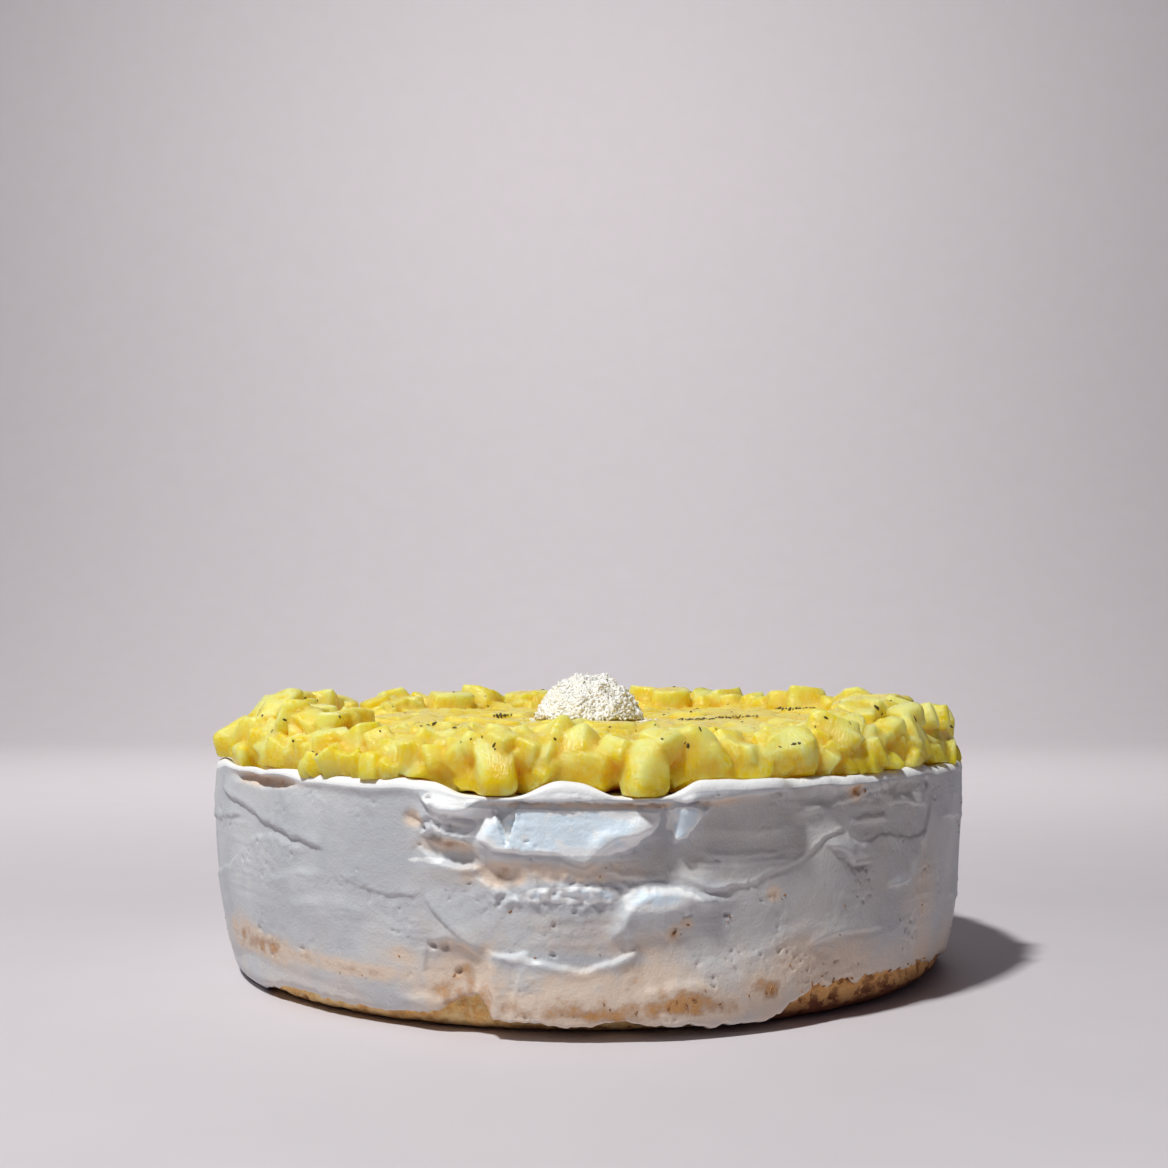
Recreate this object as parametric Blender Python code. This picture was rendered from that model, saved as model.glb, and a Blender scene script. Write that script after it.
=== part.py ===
"""Coconut genoise cake, uncut: a round sponge in coconut cream, covered with diced pineapple and a
small heap of grated coconut. Metres, +Z up, with the origin at the centre of the underside. The side
that faces -Y is the front, and azimuths run from it towards +X."""

import math
import random

import bmesh
import bpy
import numpy as np
from mathutils import Euler, Matrix, Vector, noise

MM = 0.001
FIT_GAP = 0.3 * MM

# The round cake, as baked in a ring 23 cm wide and 6 cm high, then covered
CAKE_RADIUS = 120 * MM
SPONGE_RADIUS = 113.5 * MM
SPONGE_TOP = 56 * MM
BASE_RADIUS = 107.5 * MM
BASE_ROUNDING = 6 * MM
CRUST_DIP = 0.7 * MM
SPONGE_SIDES = 60

# The cream, which is thin at the foot of the side and stands up in a lip round the top
CREAM_TOP = 62 * MM
LIP_HEIGHT = 4.0 * MM
LIP_WIDTH = 5.0 * MM
LIP_WAVE = 22 * MM
LIP_UNEVENNESS = 0.9 * MM
FOOT_TAPER = 5.0 * MM
FOOT_TAPER_HEIGHT = 35 * MM
THINNEST_CREAM = 0.9 * MM
CREAM_FRONT = 78
CREAM_FRONT_STEP = 2.6
CREAM_BACK_SIDES = 32
CREAM_ROWS = 15
LEAST_RELIEF = -2.3 * MM
MOST_RELIEF = 1.9 * MM
SWELL_LENGTH = 34 * MM
SWELL_DEPTH = 0.9 * MM
EDGE_STEP = 1.2 * MM
# Round the sides and the back the smears lie in two bands, by height in millimetres
BACK_FROM = 64
BACK_BANDS = ((9, 30), (34, 57))
BACK_SMEARS_IN_BAND = 15

# The diced pineapple: one layer, level in the middle, with a second on it round most of the rim
DICE_SIZE = 11.6 * MM
DICE_PITCH = 14.0 * MM
DICE_UNEVENNESS = 1.0 * MM
DICE_TOP = 78.0 * MM
LEVEL_LEAN = 2
RIM_LEAN = 8
RIM_DICE_RADIUS = 109.5 * MM
UPPER_BAND = (88 * MM, 107 * MM)
UPPER_LEAN = 16
UPPER_STEP = 6.2
UPPER_CHANCE = 0.78
UPPER_CHANCE_IN_FRONT = 0.12
LOW_FRONT = 50
PULP_RADIUS = 107 * MM
PULP_RIM_TOP = 72.5 * MM
PULP_TOP = 75.3 * MM
PULP_SIDES = 30
LEVEL_RADIUS = 84 * MM
HONEYCOMB = math.sqrt(3) / 2

# The grated coconut on the middle
HEAP_RADIUS = 18 * MM
HEAP_HEIGHT = 14.0 * MM
HEAP_ROUNDNESS = 2.6
HEAP_CLEARANCE = 2.0 * MM
HEAP_SIDES = 20
HEAP_RINGS = 5
SHREDS = 30

SEED = 24

# Where the cream's lower edge runs round the front: azimuth in degrees, height in millimetres.
# Bare crust shows below it, most of all left of the middle and towards the right.
LOWER_EDGE = (
    (-75, 0.8), (-58, 0.8), (-52, 2.4), (-36, 3.0), (-26, 2.6), (-19.5, 3.2), (-18, 9.0), (-15.5, 12.5),
    (-13, 11.0), (-12, 5.0), (-6, 3.6), (0, 3.2), (4, 4.6), (7, 3.6), (12, 3.0), (22, 2.2), (25, 3.0),
    (28, 7.0), (34, 8.2), (42, 6.8), (52, 5.0), (66, 3.0), (80, 2.4),
)

# The cream's smears that show in front. Each has its edge as (azimuth, height) points in degrees and
# millimetres, its thickness and how far it fades, in millimetres, and the side of the edge it lies on.
FRONT_SMEARS = (
    (((-15, 59.5), (-11, 60.6), (0, 61.0), (12, 61.0), (20, 62.2)), 4.0, 13, 1),
    (((19, 58.6), (26, 60.8), (38, 63.0)), 2.6, 9, 1),
    (((-64, 61.5), (-52, 61.8), (-44, 61.0)), 2.4, 8, 1),
    (((-50, 57.0), (-38, 57.5), (-26, 56.0), (-16, 56.0)), 1.8, 12, 1),
    (((-24, 54.5), (-19, 52.2), (-14, 52.6)), 3.0, 9, 1),
    (((-68, 58.0), (-60, 54.5), (-52, 51.0), (-44, 46.5), (-38, 45.0), (-33, 45.0)), 2.8, 24, 1),
    (((-26, 50.5), (-20, 47.4), (-15, 44.6), (-13, 44.8)), 3.2, 11, 1),
    (((-25, 46.6), (-19, 43.8), (-12, 43.6)), 2.0, 12, -1),
    (((-16, 48.4), (-8, 48.6), (0, 45.8), (4, 45.2)), 2.3, 11, -1),
    (((0, 51.2), (5, 54.5), (10, 57.0)), 2.2, 15, -1),
    (((-16, 38.0), (-12, 35.4), (-9, 34.8)), 1.8, 14, 1),
    (((4, 34.0), (7, 37.6), (11, 39.8), (15, 38.6), (18, 36.8)), 2.9, 17, -1),
    (((11, 39.8), (18, 38.6), (24, 40.8), (30, 45.2), (34, 51.0), (37, 54.5)), 2.3, 13, 1),
    (((36, 52.0), (42, 47.5), (46, 44.6), (52, 45.5)), 2.0, 12, 1),
    (((44, 53.0), (52, 56.5), (60, 55.0)), 1.7, 13, -1),
    (((-30, 32.0), (-24, 31.0), (-21, 28.0)), 1.4, 13, 1),
    (((-14, 23.6), (-9, 22.0), (0, 19.0), (6, 21.4)), 2.6, 16, -1),
    (((-24, 20.5), (-18, 21.0), (-13, 17.5)), 1.5, 12, -1),
    (((15, 9.0), (22, 17.5), (29, 24.6), (34, 26.4), (38, 24.8)), 2.1, 16, -1),
    (((37, 26.0), (42, 25.0), (47, 26.2)), 1.8, 10, 1),
    (((48, 34.0), (56, 37.5), (64, 36.0)), 1.7, 14, 1),
)

# Pineapple pieces that show singly in front: azimuth, distance from the axis, foot, width, depth,
# height and how far the foot leans out, in degrees and millimetres. The first two hang over the lip.
FRONT_PIECES = (
    (-12.2, 116.5, 60.9, 11.5, 10.5, 17.0, 9, 40),
    (6.4, 116.5, 61.2, 11.0, 10.0, 16.5, 8, 8),
    (-76.0, 114.4, 67.0, 10.5, 15.0, 10.5, -20, 12),
    (-1.5, 110.2, 62.6, 12.0, 9.0, 12.5, 4, -18),
    (76.0, 111.6, 63.5, 11.0, 12.0, 12.5, 10, -10),
)
# The lip gives way under the pieces that hang over it: azimuth and half width, in degrees
LIP_NOTCHES = ((-12.2, 6.0), (6.4, 5.4))


def smoothstep(low, high, value):
    """0 below low, 1 above high, and a smooth rise between."""
    t = np.clip((value - low) / (high - low), 0.0, 1.0)
    return t * t * (3 - 2 * t)


def wobble(points, wavelength, offset):
    """Smooth noise, -1 to 1, at an array of points in metres."""
    flat = points.reshape(-1, 3) / wavelength + offset
    values = [noise.noise(Vector(p)) for p in flat]
    return np.array(values).reshape(points.shape[:-1])


def on_circle(azimuth, radius, height):
    """Points at azimuths in degrees from the front, as an array with the coordinates last."""
    angle = np.radians(azimuth)
    height = height + 0 * angle
    return np.stack([radius * np.sin(angle), -radius * np.cos(angle), height], axis=-1)


def back_smears():
    """Smears round the sides and the back, laid by the same hand as the ones in front."""
    draw = random.Random(SEED)
    smears = []
    spacing = (360 - 2 * BACK_FROM) / BACK_SMEARS_IN_BAND
    for index in range(BACK_SMEARS_IN_BAND * len(BACK_BANDS)):
        azimuth = BACK_FROM + (index % BACK_SMEARS_IN_BAND) * spacing + draw.uniform(-5, 5)
        height = draw.uniform(*BACK_BANDS[index // BACK_SMEARS_IN_BAND])
        steps = draw.randint(3, 4)
        slope = draw.uniform(-4.5, 4.5)
        edge = []
        for _ in range(steps):
            edge.append((azimuth, height))
            azimuth += draw.uniform(6, 10)
            height += slope + draw.uniform(-2, 2)
        side = draw.choice((-1, 1))
        smears.append((tuple(edge), draw.uniform(1.3, 2.6), draw.uniform(11, 20), side))
    return smears


def turned_to(azimuth, centre):
    """Azimuths brought within half a turn of a centre."""
    return (azimuth - centre + 180) % 360 - 180 + centre


def smear_relief(azimuth, height, smear):
    """How far one smear stands out: sharp along its edge and fading away from it."""
    edge, thickness, fade, side = smear
    turns = [point[0] for point in edge]
    around = turned_to(azimuth, (turns[0] + turns[-1]) / 2)
    line = np.interp(around, turns, [point[1] for point in edge]) * MM
    away = side * (height - line)
    ends = smoothstep(turns[0] - 2, turns[0] + 2.5, around)
    ends = ends * (1 - smoothstep(turns[-1] - 2.5, turns[-1] + 2, around))
    layer = smoothstep(0, EDGE_STEP, away) * np.exp(-((np.maximum(away, 0) / (fade * MM)) ** 2))
    return thickness * MM * ends * layer


def cream_radius(azimuth, height):
    """Radius of the cream's outer face where the smears lie on it."""
    taper = FOOT_TAPER * np.clip(1 - height / FOOT_TAPER_HEIGHT, 0, 1) ** 2
    swell = wobble(on_circle(azimuth, CAKE_RADIUS, height), SWELL_LENGTH, 3.7) * SWELL_DEPTH
    relief = LEAST_RELIEF + swell
    for smear in FRONT_SMEARS + tuple(back_smears()):
        relief = relief + smear_relief(azimuth, height, smear)
    return CAKE_RADIUS - taper + np.minimum(relief, MOST_RELIEF)


def lip_rise(azimuth):
    """Height of the lip above the cream's flat top."""
    rise = LIP_HEIGHT + wobble(on_circle(azimuth, CAKE_RADIUS, 0.0), LIP_WAVE, 9.1) * LIP_UNEVENNESS
    for centre, half_width in LIP_NOTCHES:
        around = turned_to(azimuth, centre) - centre
        rise = rise * (1 - 0.97 * np.exp(-((around / half_width) ** 4)))
    return rise


def lower_edge(azimuth):
    """Height of the cream's ragged lower edge."""
    around = turned_to(azimuth, 0)
    shown = np.interp(around, [p[0] for p in LOWER_EDGE], [p[1] for p in LOWER_EDGE]) * MM
    hidden = (3.2 + 3.0 * wobble(on_circle(azimuth, CAKE_RADIUS, 0.0), 26 * MM, 5.3)) * MM
    behind = smoothstep(70, 85, np.abs(around))
    return np.maximum(shown * (1 - behind) + hidden * behind, 0.8 * MM)


def sponge_radius(height):
    """Radius of the sponge, whose lower edge is rounded by its baking ring."""
    left = np.clip(1 - height / BASE_ROUNDING, 0, 1)
    drop = 1 - np.sqrt(1 - left**2)
    return SPONGE_RADIUS - (SPONGE_RADIUS - BASE_RADIUS) * drop


def lathe(name, rings, sides):
    """A closed skin through rings of points. A ring of one point is a pole."""
    mesh = bmesh.new()
    loops = [[mesh.verts.new(p) for p in np.atleast_2d(ring)] for ring in rings]
    for lower, upper in zip(loops, loops[1:]):
        for i in range(sides):
            j = (i + 1) % sides
            corners = [lower[i % len(lower)], lower[j % len(lower)]]
            corners += [upper[j % len(upper)], upper[i % len(upper)]]
            mesh.faces.new(dict.fromkeys(corners))
    bmesh.ops.recalc_face_normals(mesh, faces=mesh.faces[:])
    return as_object(name, mesh)


def as_object(name, mesh):
    """Links a bmesh into the scene as an object."""
    data = bpy.data.meshes.new(name)
    mesh.to_mesh(data)
    mesh.free()
    obj = bpy.data.objects.new(name, data)
    bpy.context.scene.collection.objects.link(obj)
    return obj


def paint(obj, colour, roughness):
    """Gives an object its own plain material."""
    material = bpy.data.materials.new(obj.name)
    material.use_nodes = True
    shader = material.node_tree.nodes["Principled BSDF"]
    shader.inputs["Base Color"].default_value = (*colour, 1.0)
    shader.inputs["Roughness"].default_value = roughness
    shader.inputs["Metallic"].default_value = 0.0
    obj.data.materials.append(material)


def ring_azimuths(sides):
    return np.arange(sides) * 360.0 / sides


def make_sponge():
    """The genoise: one solid, whose browned and slightly ragged crust shows below the cream."""
    azimuth = ring_azimuths(SPONGE_SIDES)
    rings = [(0, 0, 0)]
    for height in (0, 1 * MM, 2.5 * MM, BASE_ROUNDING, 11 * MM, SPONGE_TOP):
        dip = np.abs(wobble(on_circle(azimuth, SPONGE_RADIUS, height), 9 * MM, 1.3)) * CRUST_DIP
        if height in (0, SPONGE_TOP):
            dip = dip * 0
        rings.append(on_circle(azimuth, sponge_radius(height) - dip, height))
    rings.append((0, 0, SPONGE_TOP))
    sponge = lathe("sponge", rings, SPONGE_SIDES)
    paint(sponge, (0.45, 0.25, 0.10), 0.85)


def make_cream():
    """The coconut cream: a cap over the sponge with smeared sides and a lip round the top."""
    front = np.arange(-CREAM_FRONT, CREAM_FRONT, CREAM_FRONT_STEP)
    back = np.linspace(CREAM_FRONT, 360 - CREAM_FRONT, CREAM_BACK_SIDES, endpoint=False)
    azimuth = np.concatenate([front, back])
    ceiling = SPONGE_TOP + FIT_GAP
    low = lower_edge(azimuth)
    crest = CREAM_TOP + lip_rise(azimuth)
    shoulder = CREAM_TOP - 1 * MM
    rings = [(0, 0, ceiling)]
    rings.append(on_circle(azimuth, SPONGE_RADIUS + FIT_GAP, ceiling))
    straight_from = np.maximum(low, BASE_ROUNDING) + 2 * MM
    for share in (1, 0.5, 0.2, 0):
        height = low + (straight_from - low) * share
        rings.append(on_circle(azimuth, sponge_radius(height) + 2 * FIT_GAP, height))
    for row in range(CREAM_ROWS + 1):
        height = low + (shoulder - low) * row / CREAM_ROWS
        radius = cream_radius(azimuth, height)
        if row == 0:
            radius = radius - 0.4 * MM
        inside = sponge_radius(height) + 2 * FIT_GAP
        rings.append(on_circle(azimuth, np.maximum(radius, inside + THINNEST_CREAM), height))
    brow = cream_radius(azimuth, crest - 1.5 * MM)
    rings.append(on_circle(azimuth, brow - 0.2 * MM, np.maximum(crest - 1.8 * MM, shoulder + 0.4 * MM)))
    rings.append(on_circle(azimuth, brow - 1.8 * MM, crest))
    rings.append(on_circle(azimuth, brow - 3.4 * MM, CREAM_TOP + (crest - CREAM_TOP) * 0.6))
    rings.append(on_circle(azimuth, CAKE_RADIUS - LIP_WIDTH, CREAM_TOP))
    rings.append((0, 0, CREAM_TOP))
    cream = lathe("coconut_cream", rings, len(azimuth))
    cream.data.shade_smooth()
    paint(cream, (0.80, 0.80, 0.79), 0.5)


def dice_spots(draw):
    """Where the first layer's pieces stand: a rank along the rim, and a loose honeycomb inside it."""
    spots = []
    count = int(2 * math.pi * RIM_DICE_RADIUS / DICE_PITCH)
    for index in range(count):
        azimuth = 360 * (index + draw.uniform(-0.12, 0.12)) / count
        spots.append(on_circle(azimuth, RIM_DICE_RADIUS + draw.uniform(-1.4, 0.8) * MM, 0.0))
    reach = RIM_DICE_RADIUS - 0.86 * DICE_PITCH
    rows = int(reach / (DICE_PITCH * HONEYCOMB)) + 1
    for row in range(-rows, rows + 1):
        for column in range(-rows - 1, rows + 1):
            x = (column + 0.5 * (row % 2)) * DICE_PITCH + draw.uniform(-1.2, 1.2) * MM
            y = row * DICE_PITCH * HONEYCOMB + draw.uniform(-1.2, 1.2) * MM
            if math.hypot(x, y) < reach:
                spots.append(np.array((x, y, 0.0)))
    return spots


def dice_list():
    """Every pineapple piece as (place, size, tilt): level in the middle, tumbled round the rim."""
    draw = random.Random(SEED)
    pieces = [lower_piece(draw, spot) for spot in dice_spots(draw)]
    for azimuth in np.arange(0, 360, UPPER_STEP):
        in_front = abs(turned_to(azimuth, 0)) < LOW_FRONT
        if draw.random() < (UPPER_CHANCE_IN_FRONT if in_front else UPPER_CHANCE):
            pieces.append(upper_piece(draw, azimuth))
    kept = [piece for piece in pieces if not near_front_piece(piece)]
    return kept + [front_piece(draw, *numbers) for numbers in FRONT_PIECES]


def lower_piece(draw, spot):
    """A piece that stands on the cream. Its top is level with the others away from the rim."""
    radius = math.hypot(*spot[:2])
    at_rim = radius > LEVEL_RADIUS
    spin = 200 * float(wobble(spot, 60 * MM, 11.3)) + draw.uniform(-10, 10)
    if radius > RIM_DICE_RADIUS - DICE_PITCH / 2:
        spin = math.degrees(math.atan2(spot[0], -spot[1])) + draw.uniform(-22, 22)
    lean = RIM_LEAN if at_rim else LEVEL_LEAN
    size = [DICE_SIZE * draw.uniform(0.78, 1.0) for _ in range(3)]
    top = DICE_TOP + draw.uniform(-0.9, 0.9) * MM
    if at_rim:
        top = DICE_TOP + draw.uniform(-3.2, 2.2) * MM
    if radius < HEAP_RADIUS + DICE_SIZE:
        top = DICE_TOP - HEAP_CLEARANCE
        lean = 0
    floor = CREAM_TOP + FIT_GAP + 0.7 * MM
    size[2] = top - floor if at_rim else DICE_SIZE
    place = spot + np.array((0, 0, top - size[2] / 2))
    tilt = (draw.uniform(-lean, lean), draw.uniform(-lean, lean), spin)
    return place, size, tilt


def upper_piece(draw, azimuth):
    """A piece that lies on the first layer, close to the rim."""
    size = [DICE_SIZE * draw.uniform(0.78, 0.98) for _ in range(3)]
    height = DICE_TOP + draw.uniform(0.4, 3.0) * MM
    place = on_circle(azimuth + draw.uniform(-2, 2), draw.uniform(*UPPER_BAND), height)
    lean = [draw.uniform(-UPPER_LEAN, UPPER_LEAN) for _ in range(2)]
    return place, size, (*lean, draw.uniform(0, 90))


def near_front_piece(piece):
    """True where one of the pieces placed singly needs the room."""
    return any(
        np.hypot(*(piece[0][:2] - on_circle(turn, away * MM, 0.0)[:2])) < 0.52 * DICE_PITCH
        for turn, away, *_ in FRONT_PIECES
    )


def front_piece(draw, azimuth, radius, foot, width, depth, height, lean, spin):
    """One of the pieces placed singly. It leans about its own middle."""
    place = on_circle(azimuth, radius * MM, (foot + height / 2) * MM)
    return place, [width * MM, depth * MM, height * MM], (-lean, draw.uniform(-2, 2), azimuth + spin)


def block(name, place, size, tilt, unevenness, draw):
    """A four-sided block with uneven corners and a sloping top, as a knife leaves a piece of fruit."""
    mesh = bmesh.new()
    slope = [draw.uniform(-1.6, 1.6) * unevenness / length for length in size[:2]]
    lower, upper = [], []
    for side_x, side_y in ((-0.5, -0.5), (0.5, -0.5), (0.5, 0.5), (-0.5, 0.5)):
        x = side_x * size[0] + draw.uniform(-unevenness, unevenness)
        y = side_y * size[1] + draw.uniform(-unevenness, unevenness)
        lower.append(mesh.verts.new((x, y, -size[2] / 2)))
        upper.append(mesh.verts.new((x, y, size[2] / 2 + slope[0] * x + slope[1] * y)))
    mesh.faces.new(upper)
    mesh.faces.new(lower[::-1])
    for i in range(4):
        j = (i + 1) % 4
        mesh.faces.new((lower[i], lower[j], upper[j], upper[i]))
    turn = Euler([math.radians(a) for a in tilt]).to_matrix().to_4x4()
    bmesh.ops.transform(mesh, matrix=Matrix.Translation(Vector(place)) @ turn, verts=mesh.verts[:])
    bmesh.ops.triangulate(mesh, faces=mesh.faces[:])
    return as_object(name, mesh)


def keep_above(obj, floor, clear_of):
    """Lifts the vertices that reach into the cream or its lip."""
    for vertex in obj.data.vertices:
        least = floor
        if math.hypot(*vertex.co[:2]) > CAKE_RADIUS - LIP_WIDTH - 2.6 * MM:
            least = clear_of(vertex.co)
        vertex.co.z = max(vertex.co.z, least)


def over_lip(point):
    """The lowest a pineapple corner may come above the lip."""
    azimuth = np.array([math.degrees(math.atan2(point[0], -point[1]))])
    return CREAM_TOP + float(lip_rise(azimuth)[0]) + 1.5 * MM


def fuse(core, pieces):
    """Joins the pieces to the core in one Boolean union and drops what it seals in or leaves loose."""
    gathered = bpy.data.collections.new(core.name + "_pieces")
    bpy.context.scene.collection.children.link(gathered)
    for piece in pieces:
        bpy.context.scene.collection.objects.unlink(piece)
        gathered.objects.link(piece)
    union = core.modifiers.new("union", "BOOLEAN")
    union.operation = "UNION"
    union.operand_type = "COLLECTION"
    union.collection = gathered
    union.solver = "MANIFOLD"
    bpy.context.view_layer.objects.active = core
    bpy.ops.object.modifier_apply(modifier=union.name)
    for piece in pieces:
        bpy.data.objects.remove(piece)
    bpy.data.collections.remove(gathered)
    keep_largest_body(core)


def keep_largest_body(obj):
    """Deletes every body of the mesh but the largest: sealed hollows and scraps."""
    mesh = bmesh.new()
    mesh.from_mesh(obj.data)
    bodies, seen = [], set()
    for start in mesh.verts:
        if start in seen:
            continue
        body, waiting = [], [start]
        seen.add(start)
        while waiting:
            vertex = waiting.pop()
            body.append(vertex)
            for edge in vertex.link_edges:
                other = edge.other_vert(vertex)
                if other not in seen:
                    seen.add(other)
                    waiting.append(other)
        bodies.append(body)
    bodies.sort(key=len)
    bmesh.ops.delete(mesh, geom=[v for body in bodies[:-1] for v in body], context="VERTS")
    bmesh.ops.triangulate(mesh, faces=mesh.faces[:])
    mesh.to_mesh(obj.data)
    mesh.free()


def make_pineapple():
    """The diced pineapple: a low bed of pulp with every piece that shows fused to it."""
    azimuth = ring_azimuths(PULP_SIDES)
    floor = CREAM_TOP + FIT_GAP
    rings = [(0, 0, floor)]
    rings.append(on_circle(azimuth, PULP_RADIUS, floor))
    rings.append(on_circle(azimuth, PULP_RADIUS - 1 * MM, PULP_RIM_TOP))
    rings.append(on_circle(azimuth, LEVEL_RADIUS, PULP_TOP))
    rings.append((0, 0, PULP_TOP))
    bed = lathe("pineapple_dice", rings, PULP_SIDES)
    draw = random.Random(SEED + 1)
    pieces = []
    for index, (place, size, tilt) in enumerate(dice_list()):
        piece = block(f"piece_{index}", place, size, tilt, DICE_UNEVENNESS, draw)
        keep_above(piece, floor + 0.2 * MM, over_lip)
        pieces.append(piece)
    fuse(bed, pieces)
    paint(bed, (0.80, 0.62, 0.08), 0.3)


def heap_height(distance):
    """Height of the grated coconut at a distance from its middle, as a share of its radius."""
    return HEAP_HEIGHT * (1 - distance**HEAP_ROUNDNESS)


def make_coconut():
    """The grated coconut: a small heap with its larger shreds standing out of it."""
    draw = random.Random(SEED + 2)
    azimuth = ring_azimuths(HEAP_SIDES)
    foot = DICE_TOP
    rings = [(0, 0, foot)]
    for index in range(HEAP_RINGS):
        share = 1 - index / HEAP_RINGS
        radius = HEAP_RADIUS * share
        height = heap_height(share)
        bumps = wobble(on_circle(azimuth, radius, height), 5 * MM, 7.7) * 1.6 * MM
        level = foot + np.maximum(height + bumps * min(1, 2.5 * (1 - share)), 0.35 * MM)
        rings.append(on_circle(azimuth, radius * (1 + 0.06 * np.sin(np.radians(3 * azimuth + 40))), level))
        if index == 0:
            rings.insert(1, rings[-1] * (1, 1, 0) + (0, 0, foot))
    rings.append((0, 0, foot + HEAP_HEIGHT))
    heap = lathe("grated_coconut", rings, HEAP_SIDES)
    shreds = []
    for index in range(SHREDS):
        share = math.sqrt((index + 0.5) / SHREDS) * 0.94
        turn = index * 137.5
        place = on_circle(turn, HEAP_RADIUS * share, foot + heap_height(share) + 0.3 * MM)
        size = [draw.uniform(4, 7) * MM, draw.uniform(1.3, 2.2) * MM, draw.uniform(0.9, 1.4) * MM]
        tilt = (draw.uniform(-30, 30), draw.uniform(-38, 38), draw.uniform(0, 360))
        shred = block(f"shred_{index}", place, size, tilt, 0.15 * MM, draw)
        for vertex in shred.data.vertices:
            vertex.co.z = max(vertex.co.z, foot + 0.15 * MM)
        shreds.append(shred)
    fuse(heap, shreds)
    paint(heap, (0.88, 0.87, 0.80), 0.7)


def main():
    for obj in list(bpy.data.objects):
        bpy.data.objects.remove(obj)
    make_sponge()
    make_cream()
    make_pineapple()
    make_coconut()


main()
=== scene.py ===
"""The looks of the coconut genoise cake: its cream, crust, diced pineapple and grated coconut, on a pale
floor in soft light. Lengths are in millimetres until a mesh is made, and in metres for the lights and
the floor. Azimuths are in degrees from the front (-Y) towards +X. Pixels are those of the reference
photograph, 1168 x 1168."""

import math
import random

import bmesh
import bpy
import numpy as np
from mathutils import Euler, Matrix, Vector, noise
from mathutils.bvhtree import BVHTree
from mathutils.kdtree import KDTree


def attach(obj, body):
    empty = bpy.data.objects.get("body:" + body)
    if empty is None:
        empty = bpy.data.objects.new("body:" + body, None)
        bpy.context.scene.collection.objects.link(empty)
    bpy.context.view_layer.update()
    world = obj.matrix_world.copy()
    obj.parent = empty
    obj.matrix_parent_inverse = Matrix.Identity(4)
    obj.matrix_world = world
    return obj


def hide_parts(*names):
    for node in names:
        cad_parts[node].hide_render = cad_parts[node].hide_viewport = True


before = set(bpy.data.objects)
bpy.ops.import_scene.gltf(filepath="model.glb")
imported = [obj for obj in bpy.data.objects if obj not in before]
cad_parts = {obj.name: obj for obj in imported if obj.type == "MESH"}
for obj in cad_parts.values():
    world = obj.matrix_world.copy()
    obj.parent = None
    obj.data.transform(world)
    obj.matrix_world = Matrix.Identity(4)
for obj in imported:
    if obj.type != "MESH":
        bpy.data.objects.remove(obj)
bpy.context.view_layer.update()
MM = 0.001

# The camera that the photograph was taken with: level, with its frame shifted up
IMAGE_PX = 1168
FOCAL_PX = 1516
AXIS_PX = 589
HORIZON_PX = 656.6
CAMERA_DISTANCE = 504
CAMERA_HEIGHT = 98
SENSOR_WIDTH = 36
NEAREST_SEEN = 0.01

# The cake, as in the solids
CAKE_RADIUS = 120
SPONGE_RADIUS = 113.5
SPONGE_TOP = 56
BASE_RADIUS = 107.5
BASE_ROUNDING = 6
CRUST_DIP = 0.7
CREAM_TOP = 62
FIT_GAP = 0.3
LIP_HEIGHT = 4
LIP_WIDTH = 5
LIP_WAVE = 22
LIP_UNEVENNESS = 0.9
# The lip gives way under the pieces that hang over it: azimuth and half width, in degrees
LIP_NOTCHES = ((-12.2, 6), (6.4, 5.4))
FOOT_TAPER = 5
FOOT_TAPER_HEIGHT = 35
THINNEST_CREAM = 0.9
LEAST_RELIEF = -2.3
MOST_RELIEF = 1.9
SWELL_LENGTH = 34
SWELL_DEPTH = 0.9
BACK_FROM = 64
BACK_BANDS = ((9, 30), (34, 57))
BACK_SMEARS_IN_BAND = 15

DICE_SIZE = 11.6
DICE_PITCH = 14
DICE_UNEVENNESS = 1
DICE_TOP = 78
LEVEL_LEAN = 2
RIM_LEAN = 8
RIM_DICE_RADIUS = 109.5
UPPER_BAND = (88, 107)
UPPER_LEAN = 16
UPPER_STEP = 6.2
UPPER_CHANCE = 0.78
UPPER_CHANCE_IN_FRONT = 0.12
LOW_FRONT = 50
LEVEL_RADIUS = 84
HONEYCOMB = math.sqrt(3) / 2

HEAP_RADIUS = 18
HEAP_HEIGHT = 14
HEAP_ROUNDNESS = 2.6
HEAP_CLEARANCE = 2

# What only shows here: the cream and the crust
SIDE_SWELL = 1.3
UPPER_SIDE_SWELL = 1
LEFT_CORNER = 1.8
LEFT_CORNER_HEIGHT = 14
EDGE_THICKNESS = 0.25
STROKE_STRENGTH = 0.66
BEAD_SHARE = 0.24
BEAD_PLACE = 1.2
BEAD_WIDTH = 1.1
BACK_STROKES = 46
STROKE_SPREAD = 0.618
LIP_EVENING = 6
WALL_ROWS = 134
FRONT_FINENESS = 0.22
BACK_FINENESS = 0.46
CREAM_TRIANGLES = 196000
MORE_CRUMBS = 90

# The pineapple
SUNK_FRONT = 56
FRONT_SINK = 4.5
OVER_LIP_RADIUS = 114
OVER_LIP_WIDTH = (10.4, 11.5)
CHUNK_ROUNDING = 1.2
SCRAP_ROUNDING = 0.6
SOFT_ROUNDING = 2.8
CHUNK_CUTS = 4
FIBRE_STRETCH = 0.14
PACKING = 1.07
BANK_BASE = 77
BANK_RISE = 6
BANK_FALL = 6.5
FILLERS = 30
FILLER_REACH = 78
SCRAPS = 260
SCRAP_SPREAD = 0.618034
FRONT_SCRAPS = 46
FRONT_SCRAP_REACH = 76
PULP_TONE = 0.45
CREASE_FILLS = 8
CREASE_PULL = 0.6
RIDGE_PULL = 0.05
MORE_SPECKS = 120
SPECK_STEP_PX = 3.4

# The grated coconut
HEAP_RINGS = 110
SHREDS = 2000
SHRED_STEPS = 4
STRAYS = 60
GOLDEN_ANGLE = 2.39996

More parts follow.
